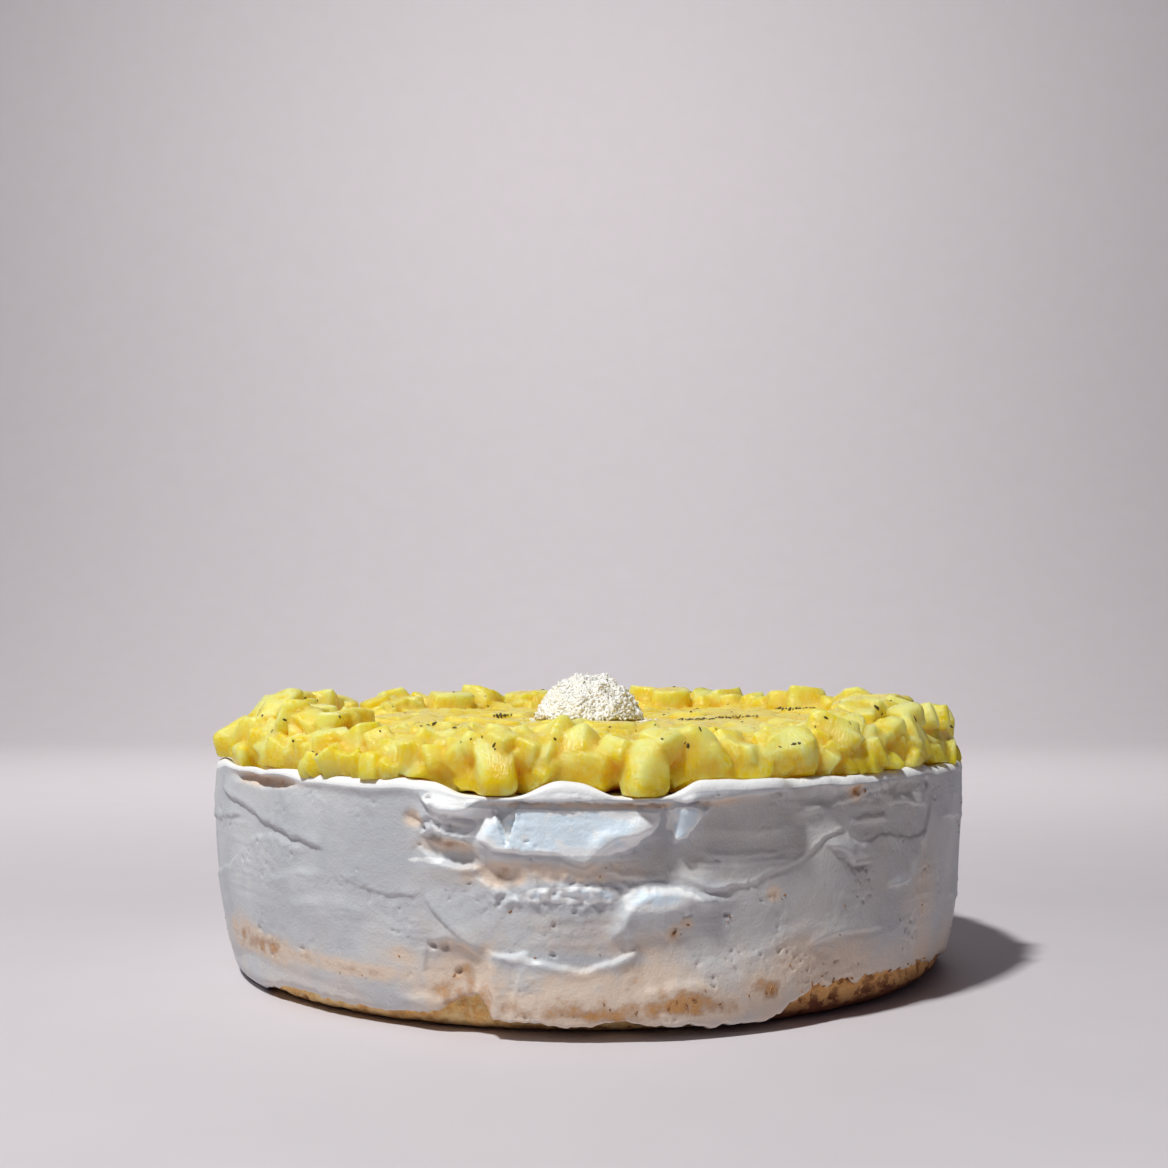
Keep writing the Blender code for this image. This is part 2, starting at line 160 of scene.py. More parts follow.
# Lights, floor and surround, in metres and watts
KEY_PLACE = (-0.597, -0.664, 1.685)
KEY_TARGET = (0, 0, 0.04)
KEY_SIZE = 0.16
KEY_POWER = 34
KEY_COLOUR = (0.97, 0.99, 1)
BACKDROP_PLACE = (0, 0.7, 1.2)
BACKDROP_TARGET = (0, 2.1, 0.5)
BACKDROP_SIZE = 1.4
BACKDROP_POWER = 14
FLOOR_HALF_WIDTH = 4
FLOOR_FRONT = -3
FLOOR_BACK = 1.2
FLOOR_BEND = 0.9
FLOOR_STEPS = 24
BACKDROP_TOP = 3
SEEN_TINT = (0.84, 0.82, 0.84, 1)
SEEN_STRENGTH = 0.7
SHADE_TINT = (0.84, 0.72, 0.95, 1)
SHADE_STRENGTH = 0.054

SEED = 24

# Stretches round the cake, in degrees: where each begins, where it is full from and to, and where it ends
WIDER_SIDES = (56, 72, 100, 125)
FULL_FOOT = (-17, -12, 26, 42)
SLANTED_FOOT = (-150, -110, -66, -48)
RAGGED_FOOT = (27, 31, 64, 74)
TORN_LIP = (34, 44, 74, 84)
THIN_LIP = (-72, -65, -48, -43)

# Where the cream's lower edge runs round the front: azimuth in degrees, height in millimetres
LOWER_EDGE = (
    (-75, 0.15), (-59, 0.15), (-53, 3.2), (-48, 4.6), (-43, 4.8), (-35, 4), (-27, 4.2), (-23, 4.8),
    (-20, 5.8), (-18, 7.6), (-16, 9.6), (-14, 10), (-12.8, 8), (-11.8, 4.6), (-6, 3.6), (0, 3.2),
    (4, 4.6), (7, 3.6), (12, 3), (22, 2.4), (25, 3.6), (26.4, 6.2), (29, 8.4), (32, 10), (37, 10.2),
    (43, 9.4), (50, 9.8), (57, 9.4), (64, 8.2), (74, 6), (84, 4),
)

# Small pieces of pineapple that have slid onto the lip: azimuth, distance from the axis, height and size
DRIPS = (
    (-41.5, 117, 67.8, 5), (-40, 116.4, 68.2, 5.2), (-37.4, 115.6, 69.2, 6.4), (-35, 115.8, 69, 6),
    (-32.6, 116.2, 68.4, 5.4), (-29.8, 115.4, 68.8, 6.2), (-27, 115.4, 68.4, 6), (-64, 115.6, 68.8, 5.6),
    (77, 116.7, 65.8, 8.4), (70, 116.6, 68, 6.6),
)

# Pineapple pieces that show singly in front: azimuth, distance from the axis, foot, width, depth, height,
# how far the foot leans out, and how far the piece is turned, in degrees and millimetres
FRONT_PIECES = (
    (-12, 115.4, 60.9, 10.2, 10.5, 16, 20, 24),
    (7.1, 115.4, 61.2, 10, 10, 16.5, 18, 12),
    (-76, 114.4, 67, 10.5, 15, 10.5, -20, 12),
    (-1.5, 110.2, 62.6, 12, 9, 12.5, 4, -18),
    (76, 111.6, 63.5, 11, 12, 12.5, 10, -10),
)

# Small pieces that lie over the tops of the first two, and on the right-hand end: azimuth, distance from
# the axis, height and size
PERCHED = (
    (-15.2, 112.2, 74.6, 8.6), (-11.4, 113.6, 75.4, 8), (-8.4, 112, 73.8, 8.6), (-12.6, 109.6, 76.4, 8.4),
    (3.6, 112.2, 73.6, 8.2), (9.6, 111.8, 75.6, 8.8), (80, 112.6, 77.4, 10), (74, 112, 78.6, 9.6),
    (67, 110.6, 79.4, 9.2), (60, 109, 79.8, 9),
)

# The lower edge of the lip over the middle, and the brink below it: between them the cream slopes out
# as a ramp, so that light from above falls on it. In pixels, with the ramp's slope and, in millimetres,
# how far the brink stands out.
LIP_EDGE = (
    (474, 806), (500, 803), (540, 802), (600, 803), (655, 804), (700, 801), (744, 797), (784, 791),
    (824, 787), (862, 783), (900, 779),
)
BRINK = (
    (472, 834), (496, 850), (519, 853), (556, 856), (582, 865), (595, 857), (604, 848), (622, 841),
    (646, 833), (659, 824), (665, 802),
)
FLAP_BRINK = ((676, 841), (683, 839), (693, 830), (704, 816), (717, 802))
# Each ramp's brink, and how far the ramp fades in and out at its two ends
RAMPS = ((BRINK, 4, 2), (FLAP_BRINK, 0.8, 4))
RAMP_TOP = (
    (474, 806), (489, 806), (499, 826), (507, 847), (512, 828), (516, 804), (540, 802), (600, 803),
    (655, 804), (700, 801), (744, 797),
)
BRINK_RELIEF = 1.5
RAMP_SLOPE = 0.17

# The long crease on the right, in pixels
CREASE = (
    (664, 867), (680, 877), (701, 885), (722, 889), (743, 885), (769, 877), (792, 867), (813, 854),
    (826, 843), (842, 833), (857, 829),
)

# The strokes of the knife in front. Each has its edge in pixels, how thick the cream is along it and how
# far that fades, in millimetres, which side of the edge is the raised one (+1 is above an edge that runs
# to the right) and how wide the edge itself is.
FRONT_STROKES = (
    (LIP_EDGE, 4.4, 15, 1, 0.4),
    (BRINK[:-2], 3.6, 7, -1, 0.8),
    (((690, 801), (720, 799), (750, 793), (780, 787), (815, 785), (850, 781)), 0.8, 7, 1, 1.4),
    (((226, 768), (240, 772), (260, 777), (284, 779)), 2.2, 5, 1, 0.5),
    (((290, 783), (330, 789), (357, 794), (390, 792), (418, 796)), 1.2, 11, 1, 1.8),
    (((412, 790), (420, 802), (438, 811), (458, 813), (474, 808), (484, 796)), 3.2, 7, 1, 0.8),
    (((222, 788), (242, 809), (258, 822), (274, 830), (289, 838), (305, 844), (320, 852)), 1.2, 22, 1, 0.4),
    (((240, 838), (262, 835), (280, 841), (300, 853)), 0.9, 18, -1, 1.2),
    (((326, 880), (357, 887), (373, 893), (394, 897), (420, 895)), 0.6, 14, 1, 0.5),
    (((420, 893), (425, 903), (431, 914), (441, 924), (452, 935), (467, 945), (488, 951)), 1.1, 11, 1, 0.6),
    (((438, 926), (470, 917), (500, 909), (530, 905), (560, 905), (600, 904), (624, 906)), 0.2, 8, 1, 1.8),
    (((402, 812), (416, 820), (430, 818), (446, 822), (472, 826)), 1.2, 6, 1, 0.5),
    (((444, 832), (458, 834), (474, 833)), 1, 5, -1, 0.6),
    (((413, 838), (430, 834), (451, 839), (466, 846), (482, 861)), 2, 5, 1, 0.4),
    (((412, 845), (430, 857), (446, 865), (462, 868), (482, 866)), 1.8, 9, -1, 0.7),
    (((470, 878), (491, 887), (506, 893), (519, 900), (526, 909)), 1.5, 8, -1, 0.5),
    (((520, 893), (530, 884), (560, 886), (600, 889), (624, 898)), 1.2, 13, -1, 1.4),
    (((484, 950), (501, 956), (527, 953), (533, 961), (553, 965), (580, 971), (599, 966), (612, 962),
      (630, 956), (642, 946)), 1.8, 20, -1, 0.6),
    (((492, 955), (488, 974), (491, 997), (500, 1014)), 1.4, 10, 1, 0.6),
    (((628, 962), (625, 940), (623, 920), (624, 906)), 0.9, 8, -1, 0.8),
    (((608, 948), (619, 922), (631, 903), (648, 891), (668, 887), (690, 891), (722, 903)), 3, 20, -1, 2.6),
    (((694, 893), (720, 898), (744, 900)), 0.9, 6, -1, 1),
    (((600, 870), (635, 882), (664, 880), (688, 886), (711, 891), (742, 890)), 0.8, 18, 1, 0.6),
    (CREASE, 0.32, 12, 1, 0.5),
    (((855, 829), (862, 842), (878, 844), (894, 835), (915, 839), (934, 831)), 0.7, 9, -1, 0.6),
    (((830, 846), (852, 853), (863, 865), (884, 861)), 1.2, 6, 1, 0.6),
    (((928, 842), (923, 862), (916, 880), (893, 889)), 1.7, 6, -1, 0.6),
    (((938, 796), (932, 826), (926, 848)), 0.8, 5, 1, 0.6),
    (((812, 784), (830, 786), (846, 783), (858, 777)), 1.3, 6, 1, 0.5),
    (((838, 808), (864, 800), (880, 792), (898, 785)), 1, 9, 1, 0.6),
    (((798, 818), (822, 815), (842, 812)), 0.6, 7, 1, 0.8),
    (((893, 806), (912, 802), (934, 808)), 0.8, 8, 1, 0.6),
    (((693, 976), (716, 966), (753, 953), (779, 942), (800, 929), (818, 921), (834, 923), (858, 937),
      (892, 930), (914, 918)), 0.65, 17, -1, 3),
    (((810, 949), (842, 938), (871, 933), (894, 929)), 0.9, 6, 1, 0.9),
    (((423, 947), (440, 943), (455, 944), (470, 952), (484, 964)), 1.2, 5, 1, 0.6),
    (((421, 946), (419, 965), (424, 985), (434, 1002)), 0.9, 7, -1, 0.8),
    (((280, 905), (310, 899), (340, 903), (368, 912)), 0.6, 14, -1, 1.8),
    (((262, 880), (280, 872), (300, 870), (322, 876)), 0.6, 12, -1, 1.6),
    (((640, 1004), (655, 990), (690, 982), (722, 986)), 0.7, 9, -1, 1.4),
    (((700, 832), (740, 838), (780, 836), (812, 826)), 0.5, 9, 1, 1.6),
)

# Thin ridges that the knife left standing: pixels, height and half width in millimetres
FRONT_RIDGES = (
    (CREASE, 0.38, 0.6),
    (((584, 853), (598, 846), (612, 838), (634, 831), (656, 825)), 1.2, 2.4),
    (((857, 829), (866, 822), (884, 818), (900, 820)), 0.5, 0.8),
    (((700, 852), (740, 858), (790, 852)), 0.3, 0.9),
    (((690, 864), (740, 868), (800, 858)), 0.3, 0.8),
)

# Bulges and hollows: pixel, half width, half height in millimetres, and how far it stands out
FRONT_BULGES = (
    ((452, 801), 6.5, 3.6, 1.8), ((655, 906), 9, 4.6, 0.9), ((409, 819), 2.2, 1.8, -1),
    ((454, 824), 6, 3.2, 1.5), ((450, 855), 8, 2.6, -0.9), ((254, 780), 15, 1.3, -2.8),
    ((455, 970), 8, 6.5, -0.9), ((540, 940), 22, 8, 1.1), ((556, 1034), 32, 11.5, 3.6),
    ((532, 893), 4, 4, 0.9), ((498, 874), 5, 3, -1.3), ((669, 820), 2.2, 5, -1.6),
    ((681, 858), 6, 8, -1.5), ((730, 1005), 24, 9, 2.1), ((350, 985), 26, 6, 0.6),
    ((762, 828), 30, 15, -1.1), ((890, 828), 16, 16, -0.9), ((838, 797), 7, 2, -1.1),
    ((861, 779), 4, 2, 1.2), ((914, 786), 7, 3.6, -1.5), ((770, 945), 20, 9, -0.8),
    ((868, 862), 3.5, 1.6, -1.2), ((870, 790), 2.6, 1.6, -0.7), ((577, 897), 15, 5, 0.3),
    ((686, 808), 3, 3, 1.2), ((822, 818), 9, 6, -1), ((418, 1006), 5.5, 2, 1.2),
)

# Small deep holes: pixel, radius and depth in millimetres
FRONT_PITS = (
    ((427, 799), 0.9, 1.8), ((421, 830), 0.7, 1.5), ((427, 949), 0.9, 1.5), ((440, 950), 1, 1.3),
    ((454, 975), 0.9, 1.2), ((934, 783), 0.9, 2.2), ((803, 784), 0.7, 1), ((252, 842), 0.5, 0.8),
    ((730, 917), 0.7, 1), ((497, 905), 0.6, 0.9), ((372, 781), 0.8, 1), ((552, 956), 0.5, 0.8),
)

# Where the sponge shows through thin cream, and where shade is painted on: painted shade in the recesses
# under the lip, in the hollows and on the wall under the brink, partly thin cream there too. Below zero,
# painted highlights, where the cream is painted whiter and bluish as where light falls on it. Each has a
# pixel, half width, half height and strength.
FRONT_STAINS_AND_PAINTED_LIGHT = (
    ((234, 935), 9, 3.8, 1), ((258, 949), 9, 3, 1.1), ((300, 961), 10, 1.8, 0.5),
    ((345, 971), 10, 1.6, 0.46), ((372, 976), 6, 1.4, 0.44), ((394, 957), 4, 2, 0.5),
    ((409, 819), 2.4, 1.8, 0.7), ((460, 826), 3.6, 1.6, 0.5), ((448, 845), 7, 1.5, 0.75),
    ((520, 872), 18, 3.6, 0.42), ((462, 965), 7, 6, 0.46), ((452, 990), 8, 4, 0.46),
    ((540, 935), 20, 5, 0.16), ((684, 1003), 5, 2.4, 1.35), ((768, 989), 3.6, 2.4, 1.25),
    ((640, 1012), 6, 1.8, 0.95), ((605, 1016), 6, 1.4, 0.8), ((560, 1013), 7, 1.2, 0.6),
    ((725, 1008), 6, 2, 0.8), ((865, 791), 2.2, 2, 1.05), ((780, 895), 1.6, 1.4, 0.9),
    ((674, 933), 1.4, 1.3, 1.1), ((688, 925), 1.3, 1.2, 0.9), ((254, 779), 15, 1.6, 0.9),
    ((590, 998), 32, 6, 0.42), ((830, 960), 18, 6, 0.28), ((930, 900), 8, 12, 0.26),
    ((640, 960), 12, 8, 0.22), ((596, 874), 10, 3, 0.35), ((500, 876), 5.5, 2.8, 0.4),
    ((548, 830), 20, 5.4, -0.55), ((654, 898), 10, 2.6, -0.3), ((684, 818), 2.8, 4.8, -0.6),
    ((450, 800), 7, 3.4, -0.16), ((576, 893), 14, 2.4, -0.4), ((436, 862), 12, 1.2, -0.3),
    ((560, 962), 26, 1.4, -0.3), ((560, 806), 20, 0.8, 0.6), ((640, 806), 14, 0.8, 0.6),
    ((722, 800), 8, 1.2, 0.3), ((475, 1008), 9, 2.4, 1),
)

# Crumbs of crust in the cream: pixel and size in millimetres
FRONT_CRUMBS = (
    (674, 933, 1.5), (688, 925, 1.2), (510, 912, 0.9), (535, 958, 0.8), (600, 955, 0.8), (454, 975, 1),
    (785, 895, 1.1), (782, 899, 0.8), (730, 917, 0.9), (728, 922, 0.7), (790, 965, 0.9), (771, 989, 1.5),
    (766, 993, 1.1), (676, 1001, 1.5), (686, 1006, 1.7), (694, 1000, 1.2), (668, 1008, 1.1),
    (865, 791, 1.3), (922, 905, 0.8), (900, 920, 0.8), (600, 877, 0.7), (606, 868, 0.6), (845, 906, 0.8),
    (840, 935, 0.8), (812, 984, 1.5), (824, 986, 1.2), (833, 981, 1.6), (846, 984, 1.3), (852, 978, 1.5),
    (862, 980, 1.2), (870, 975, 1.6), (880, 976, 1.2), (890, 970, 1.4), (899, 968, 1.2), (908, 964, 1.3),
    (916, 961, 1.1), (924, 958, 1.2), (802, 992, 1.2), (790, 1003, 1), (604, 1004, 1), (610, 1010, 0.8),
    (636, 1013, 1.2), (720, 1004, 0.9), (399, 956, 0.9), (362, 975, 0.7), (366, 978, 0.6), (340, 973, 0.7),
    (262, 949, 1), (243, 944, 0.8), (957, 822, 0.9), (958, 832, 0.8), (749, 996, 0.9), (705, 990, 0.8),
    (822, 976, 0.9), (858, 964, 0.8),
)

# Dark specks on the pineapple: pixel and length in millimetres
FRONT_SPECKS = (
    (421, 726, 1.2), (428, 725, 1.3), (434, 724, 1.7), (454, 728, 1.6), (482, 737, 1.3), (494, 745, 1.5),
    (495, 749, 1), (461, 742, 0.8), (471, 739, 0.8), (488, 706, 1), (505, 715, 1.4), (535, 716, 1.6),
    (541, 715, 1.5), (537, 712, 0.8), (555, 739, 1.2), (571, 718, 1.6), (578, 718, 1.2), (262, 716, 1.5),
    (285, 720, 1.2), (272, 731, 1), (293, 741, 1.1), (313, 752, 1.1), (317, 755, 1.3), (340, 717, 1),
    (682, 719, 1.6), (689, 720, 1.6), (697, 719, 1.5), (704, 718, 1.4), (713, 719, 1.7), (722, 718, 1.5),
    (730, 718, 1.6), (738, 718, 1.2), (748, 717, 1.2), (757, 717, 1.3), (742, 722, 1.3), (700, 729, 1.6),
    (716, 729, 0.8), (688, 746, 1.6), (685, 743, 1), (794, 744, 1.4), (799, 743, 1.3), (780, 747, 1.1),
    (815, 727, 1.1), (826, 718, 1.5), (877, 708, 2.2), (882, 714, 1.3), (915, 719, 1.6), (951, 726, 1.6),
    (662, 739, 1.1), (655, 725, 0.9), (610, 727, 0.9), (636, 731, 0.8), (380, 731, 0.8), (850, 723, 0.9),
)

# Rows in which the specks lie so close that they look like threads: the pixels of their ends
SPECK_ROWS = (
    ((679, 720), (712, 719)), ((716, 718), (758, 716)), ((494, 716), (512, 715)), ((776, 709), (816, 708)),
)


def smoothstep(low, high, value):
    """0 below low, 1 above high, and a smooth rise between."""
    t = np.clip((value - low) / (high - low), 0.0, 1.0)
    return t * t * (3 - 2 * t)


def between(value, start, full_from, full_to, end):
    """1 over a stretch, with a smooth rise before it and a smooth fall after it."""
    return smoothstep(start, full_from, value) * smoothstep(end, full_to, value)


def wobble(points, wavelength, offset):
    """Smooth noise, -1 to 1, at an array of points. Another offset gives another noise."""
    flat = points.reshape(-1, 3) / wavelength + offset
    values = [noise.noise(Vector(p)) for p in flat]
    return np.array(values).reshape(points.shape[:-1])


def on_circle(azimuth, radius, height):
    """Points at azimuths in degrees from the front, as an array with the coordinates last."""
    angle = np.radians(azimuth)
    height = height + 0 * angle
    return np.stack([radius * np.sin(angle), -radius * np.cos(angle), height], axis=-1)


def turned_to(azimuth, centre):
    """Azimuths brought within half a turn of a centre."""
    return (azimuth - centre + 180) % 360 - 180 + centre


def pixel_ray(x, y):
    """A pixel's line of sight, as a start and a direction."""
    start = np.array((0.0, -CAMERA_DISTANCE, CAMERA_HEIGHT))
    return start, np.array(((x - AXIS_PX) / FOCAL_PX, 1.0, (HORIZON_PX - y) / FOCAL_PX))


def side_at(x, y):
    """Where a pixel falls on the cake's side: distance round it from the front, and height."""
    start, along = pixel_ray(x, y)
    a = 1 + along[0] ** 2
    reach = CAMERA_DISTANCE**2 - a * (CAMERA_DISTANCE**2 - CAKE_RADIUS**2)
    t = (CAMERA_DISTANCE - math.sqrt(max(reach, 0.0))) / a
    point = start + along * t
    return np.array((math.atan2(point[0], -point[1]) * CAKE_RADIUS, point[2]))


def on_side(pixels):
    """Where each pixel of a line falls on the cake's side."""
    return np.array([side_at(*pixel) for pixel in pixels])


def mesh_object(name, points, faces):
    """A smooth mesh from points in millimetres and an array of faces with three or four corners each."""
    mesh = bpy.data.meshes.new(name)
    corners = [np.asarray(f, np.int32) for f in faces]
    loops = np.concatenate([c.ravel() for c in corners])
    sizes = np.concatenate([np.full(len(c), c.shape[1], np.int32) for c in corners])
    starts = np.concatenate([[0], np.cumsum(sizes)[:-1]]).astype(np.int32)
    mesh.vertices.add(len(points))
    mesh.vertices.foreach_set("co", (np.asarray(points, np.float32) * MM).ravel())
    mesh.loops.add(len(loops))
    mesh.loops.foreach_set("vertex_index", loops)
    mesh.polygons.add(len(sizes))
    mesh.polygons.foreach_set("loop_start", starts)
    mesh.polygons.foreach_set("loop_total", sizes)
    mesh.update(calc_edges=True)
    mesh.shade_smooth()
    obj = bpy.data.objects.new(name, mesh)
    bpy.context.scene.collection.objects.link(obj)
    return obj


def add_values(obj, name, values):
    """Stores a number for each vertex."""
    attribute = obj.data.attributes.new(name, "FLOAT", "POINT")
    attribute.data.foreach_set("value", np.asarray(values, np.float32).ravel())


def add_vectors(obj, name, values):
    """Stores a vector for each vertex."""
    attribute = obj.data.attributes.new(name, "FLOAT_VECTOR", "POINT")
    attribute.data.foreach_set("vector", np.asarray(values, np.float32).ravel())


def ring_quads(rows, columns):
    """The quads between rings of points, numbered ring by ring."""
    lower = np.arange(rows - 1)[:, None] * columns + np.arange(columns)[None, :]
    right = np.roll(lower, -1, axis=1)
    return np.stack([lower, right, right + columns, lower + columns], axis=-1).reshape(-1, 4)


def lathe(rings):
    """A closed skin through an array of rings, rings x columns x 3, with a pole at each end: its points
    and its faces."""
    rows, columns = rings.shape[:2]
    points = rings.reshape(-1, 3)
    poles = np.array((rings[0].mean(axis=0), rings[-1].mean(axis=0)))
    quads = ring_quads(rows, columns)
    first = np.arange(columns)
    last = first + (rows - 1) * columns
    count = len(points)
    start_fan = np.stack([np.full(columns, count), np.roll(first, -1), first], axis=-1)
    end_fan = np.stack([np.full(columns, count + 1), last, np.roll(last, -1)], axis=-1)
    return np.concatenate([points, poles]), [quads, start_fan, end_fan]


def outward(points):
    """The level direction away from the cake's axis at each point."""
    level = points * (1, 1, 0)
    return level / np.linalg.norm(level, axis=-1, keepdims=True)


def gathered(parts):
    """The points, grain and tone of many parts, each given as its points, faces, grain and tone."""
    points, _, grain, tones = zip(*parts)
    tones = [np.full(len(own), tone) for own, tone in zip(points, tones)]
    return np.concatenate(points), np.concatenate(grain), np.concatenate(tones)


def joined(name, parts):
    """One mesh from many closed parts."""
    points, grain, tone = gathered(parts)
    starts = np.cumsum([0] + [len(part[0]) for part in parts[:-1]])
    faces = [face + start for part, start in zip(parts, starts) for face in part[1]]
    obj = mesh_object(name, points, faces)
    add_vectors(obj, "grain", grain)
    add_values(obj, "tone", tone)
    return obj


def skin_of(mesh):
    """A mesh's points, in metres, and its triangles."""
    points = np.empty(len(mesh.vertices) * 3, np.float32)
    mesh.vertices.foreach_get("co", points)
    mesh.calc_loop_triangles()
    triangles = np.empty(len(mesh.loop_triangles) * 3, np.int32)
    mesh.loop_triangles.foreach_get("vertices", triangles)
    return points.reshape(-1, 3), triangles.reshape(-1, 3)


def surface_of(obj):
    """An object's surface, in millimetres, to cast rays at."""
    points, triangles = skin_of(obj.data)
    return BVHTree.FromPolygons((points / MM).tolist(), triangles.tolist())


def finish_piece(obj, material, replaced=()):
    """Every piece rides on the cake's one body."""
    obj.data.materials.append(material)
    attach(obj, "root")
    for node in replaced:
        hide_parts(node)
    return obj


# Cream. On its side, u is the distance round the cake from the front, and v the height


def line_field(u, v, line):
    """At each place: the distance to a line of points, the side of it (+1 is left of its run), and the
    distances from its two ends, measured along it."""
    nearest = np.full(u.shape, 1e9)
    side = np.ones(u.shape)
    along = np.zeros(u.shape)
    travelled = 0.0
    for start, end in zip(line[:-1], line[1:]):
        run = end - start
        length = math.hypot(*run)
        du, dv = u - start[0], v - start[1]
        share = np.clip((du * run[0] + dv * run[1]) / length**2, 0, 1)
        distance = np.hypot(du - share * run[0], dv - share * run[1])
        closer = distance < nearest
        nearest = np.where(closer, distance, nearest)
        side = np.where(closer, np.where(run[0] * dv - run[1] * du >= 0, 1, -1), side)
        along = np.where(closer, travelled + share * length, along)
        travelled += length
    return nearest, side, along, travelled - along


def smooth_line(points, step=1.2):
    """A line through points, curved smoothly from one to the next."""
    points = np.array(points, float)
    padded = np.concatenate([2 * points[:1] - points[1:2], points, 2 * points[-1:] - points[-2:-1]])
    out = []
    for i in range(1, len(padded) - 2):
        p0, p1, p2, p3 = padded[i - 1 : i + 3]
        count = max(2, int(np.hypot(*(p2 - p1)) / step))
        for t in np.arange(count) / count:
            out.append(0.5 * (2 * p1 + (p2 - p0) * t + (2 * p0 - 5 * p1 + 4 * p2 - p3) * t * t
                              + (3 * p1 - p0 - 3 * p2 + p3) * t**3))
    out.append(points[-1])
    return np.array(out)


def near(u, v, line, reach):
    """The places within reach of a line's box."""
    low, high = line.min(axis=0) - reach, line.max(axis=0) + reach
    return (u > low[0]) & (u < high[0]) & (v > low[1]) & (v < high[1])


def stroke_relief(u, v, line, thickness, fade, side, edge):
    """One stroke of the knife: a step along its edge, a bead behind the step, and a slow fade."""
    relief = np.zeros(u.shape)
    inside = near(u, v, line, 2.2 * fade)
    distance, which, start, end = line_field(u[inside], v[inside], line)
    away = distance * which * side
    ahead = np.maximum(away, 0)
    taper = np.minimum(3.5 + 1.4 * ahead, 0.6 * (start + end))
    ends = (1 - np.exp(-2.2 * (start / taper) ** 2)) * (1 - np.exp(-2.2 * (end / taper) ** 2))
    body = np.exp(-((ahead / fade) ** 2))
    bead = BEAD_SHARE * np.exp(-(((away - BEAD_PLACE) / BEAD_WIDTH) ** 2))
    relief[inside] = STROKE_STRENGTH * thickness * ends * smoothstep(-edge, edge, away) * (body + bead)
    return relief


def ridge_relief(u, v, line, height, width):
    """A thin ridge along a line."""
    relief = np.zeros(u.shape)
    inside = near(u, v, line, 4 * width)
    distance, _, start, end = line_field(u[inside], v[inside], line)
    ends = smoothstep(0, 4, start) * smoothstep(0, 4, end)
    relief[inside] = height * ends * np.exp(-((distance / width) ** 2))
    return relief


def spot(u, v, centre, half_width, half_height, sharpness=2):
    """A soft round spot, 1 in its middle."""
    distance = np.hypot((u - centre[0]) / half_width, (v - centre[1]) / half_height)
    return np.exp(-(distance ** (2 * sharpness)) * 0.7)


def with_ramp(u, v, relief):
    """The relief with the ramps under the lip cut into it."""
    top = on_side(RAMP_TOP)
    cut = relief.copy()
    for brink, start_fade, end_fade in RAMPS:
        line = smooth_line(on_side(brink))
        inside = near(u, v, line, 18)
        distance, which, start, end = line_field(u[inside], v[inside], line)
        away = distance * which
        under_lip = np.interp(u[inside], top[:, 0], top[:, 1]) - v[inside]
        weight = smoothstep(0, start_fade, start) * smoothstep(0, end_fade, end)
        weight = weight * smoothstep(-1.2, 0.6, away) * smoothstep(-0.3, 0.4, under_lip)
        ramp = BRINK_RELIEF - RAMP_SLOPE * np.maximum(away, 0)
        cut[inside] = cut[inside] * (1 - weight) + ramp * weight
    return cut


def back_smears():
    """The large smears round the sides and the back, as in the solids."""
    draw = random.Random(SEED)
    smears = []
    spacing = (360 - 2 * BACK_FROM) / BACK_SMEARS_IN_BAND
    for index in range(BACK_SMEARS_IN_BAND * len(BACK_BANDS)):
        azimuth = BACK_FROM + (index % BACK_SMEARS_IN_BAND) * spacing + draw.uniform(-5, 5)
        height = draw.uniform(*BACK_BANDS[index // BACK_SMEARS_IN_BAND])
        steps = draw.randint(3, 4)
        slope = draw.uniform(-4.5, 4.5)
        edge = []
        for _ in range(steps):
            edge.append((math.radians(azimuth) * CAKE_RADIUS, height))
            azimuth += draw.uniform(6, 10)
            height += slope + draw.uniform(-2, 2)
        side = draw.choice((-1, 1))
        behind = 0.3 + 0.7 * float(smoothstep(96, 125, abs(turned_to(azimuth, 0))))
        smears.append((edge, draw.uniform(1.3, 2.6) * behind, draw.uniform(11, 20), side, 0.6))
    return smears


def back_strokes():
    """Smaller strokes round the sides and the back, like those in front."""
    draw = random.Random(SEED + 5)
    strokes = []
    for index in range(BACK_STROKES):
        azimuth = BACK_FROM + 30 + (index * STROKE_SPREAD % 1) * (360 - 2 * BACK_FROM - 84)
        height = draw.uniform(7, 58)
        heading = draw.uniform(-0.55, 0.55)
        curl = draw.uniform(-0.035, 0.035)
        place = np.array((math.radians(azimuth) * CAKE_RADIUS, height))
        edge = []
        for _ in range(draw.randint(4, 8)):
            edge.append(place)
            place = place + np.array((math.cos(heading), math.sin(heading))) * draw.uniform(3, 6)
            heading += curl * 5 + draw.uniform(-0.3, 0.3)
        strokes.append((edge, draw.uniform(0.7, 1.9), draw.uniform(8, 18), draw.choice((-1, 1)), 0.5))
    return strokes


def torn(u, v, points):
    """Moves places about a little, so that edges drawn on them come out ragged."""
    coarse = [wobble(points, 5, 20.0 + k) * 0.7 for k in (0, 7)]
    fine = [wobble(points, 1.7, 50.0 + k) * 0.28 for k in (0, 7)]
    return u + coarse[0] + fine[0], v + coarse[1] + fine[1]


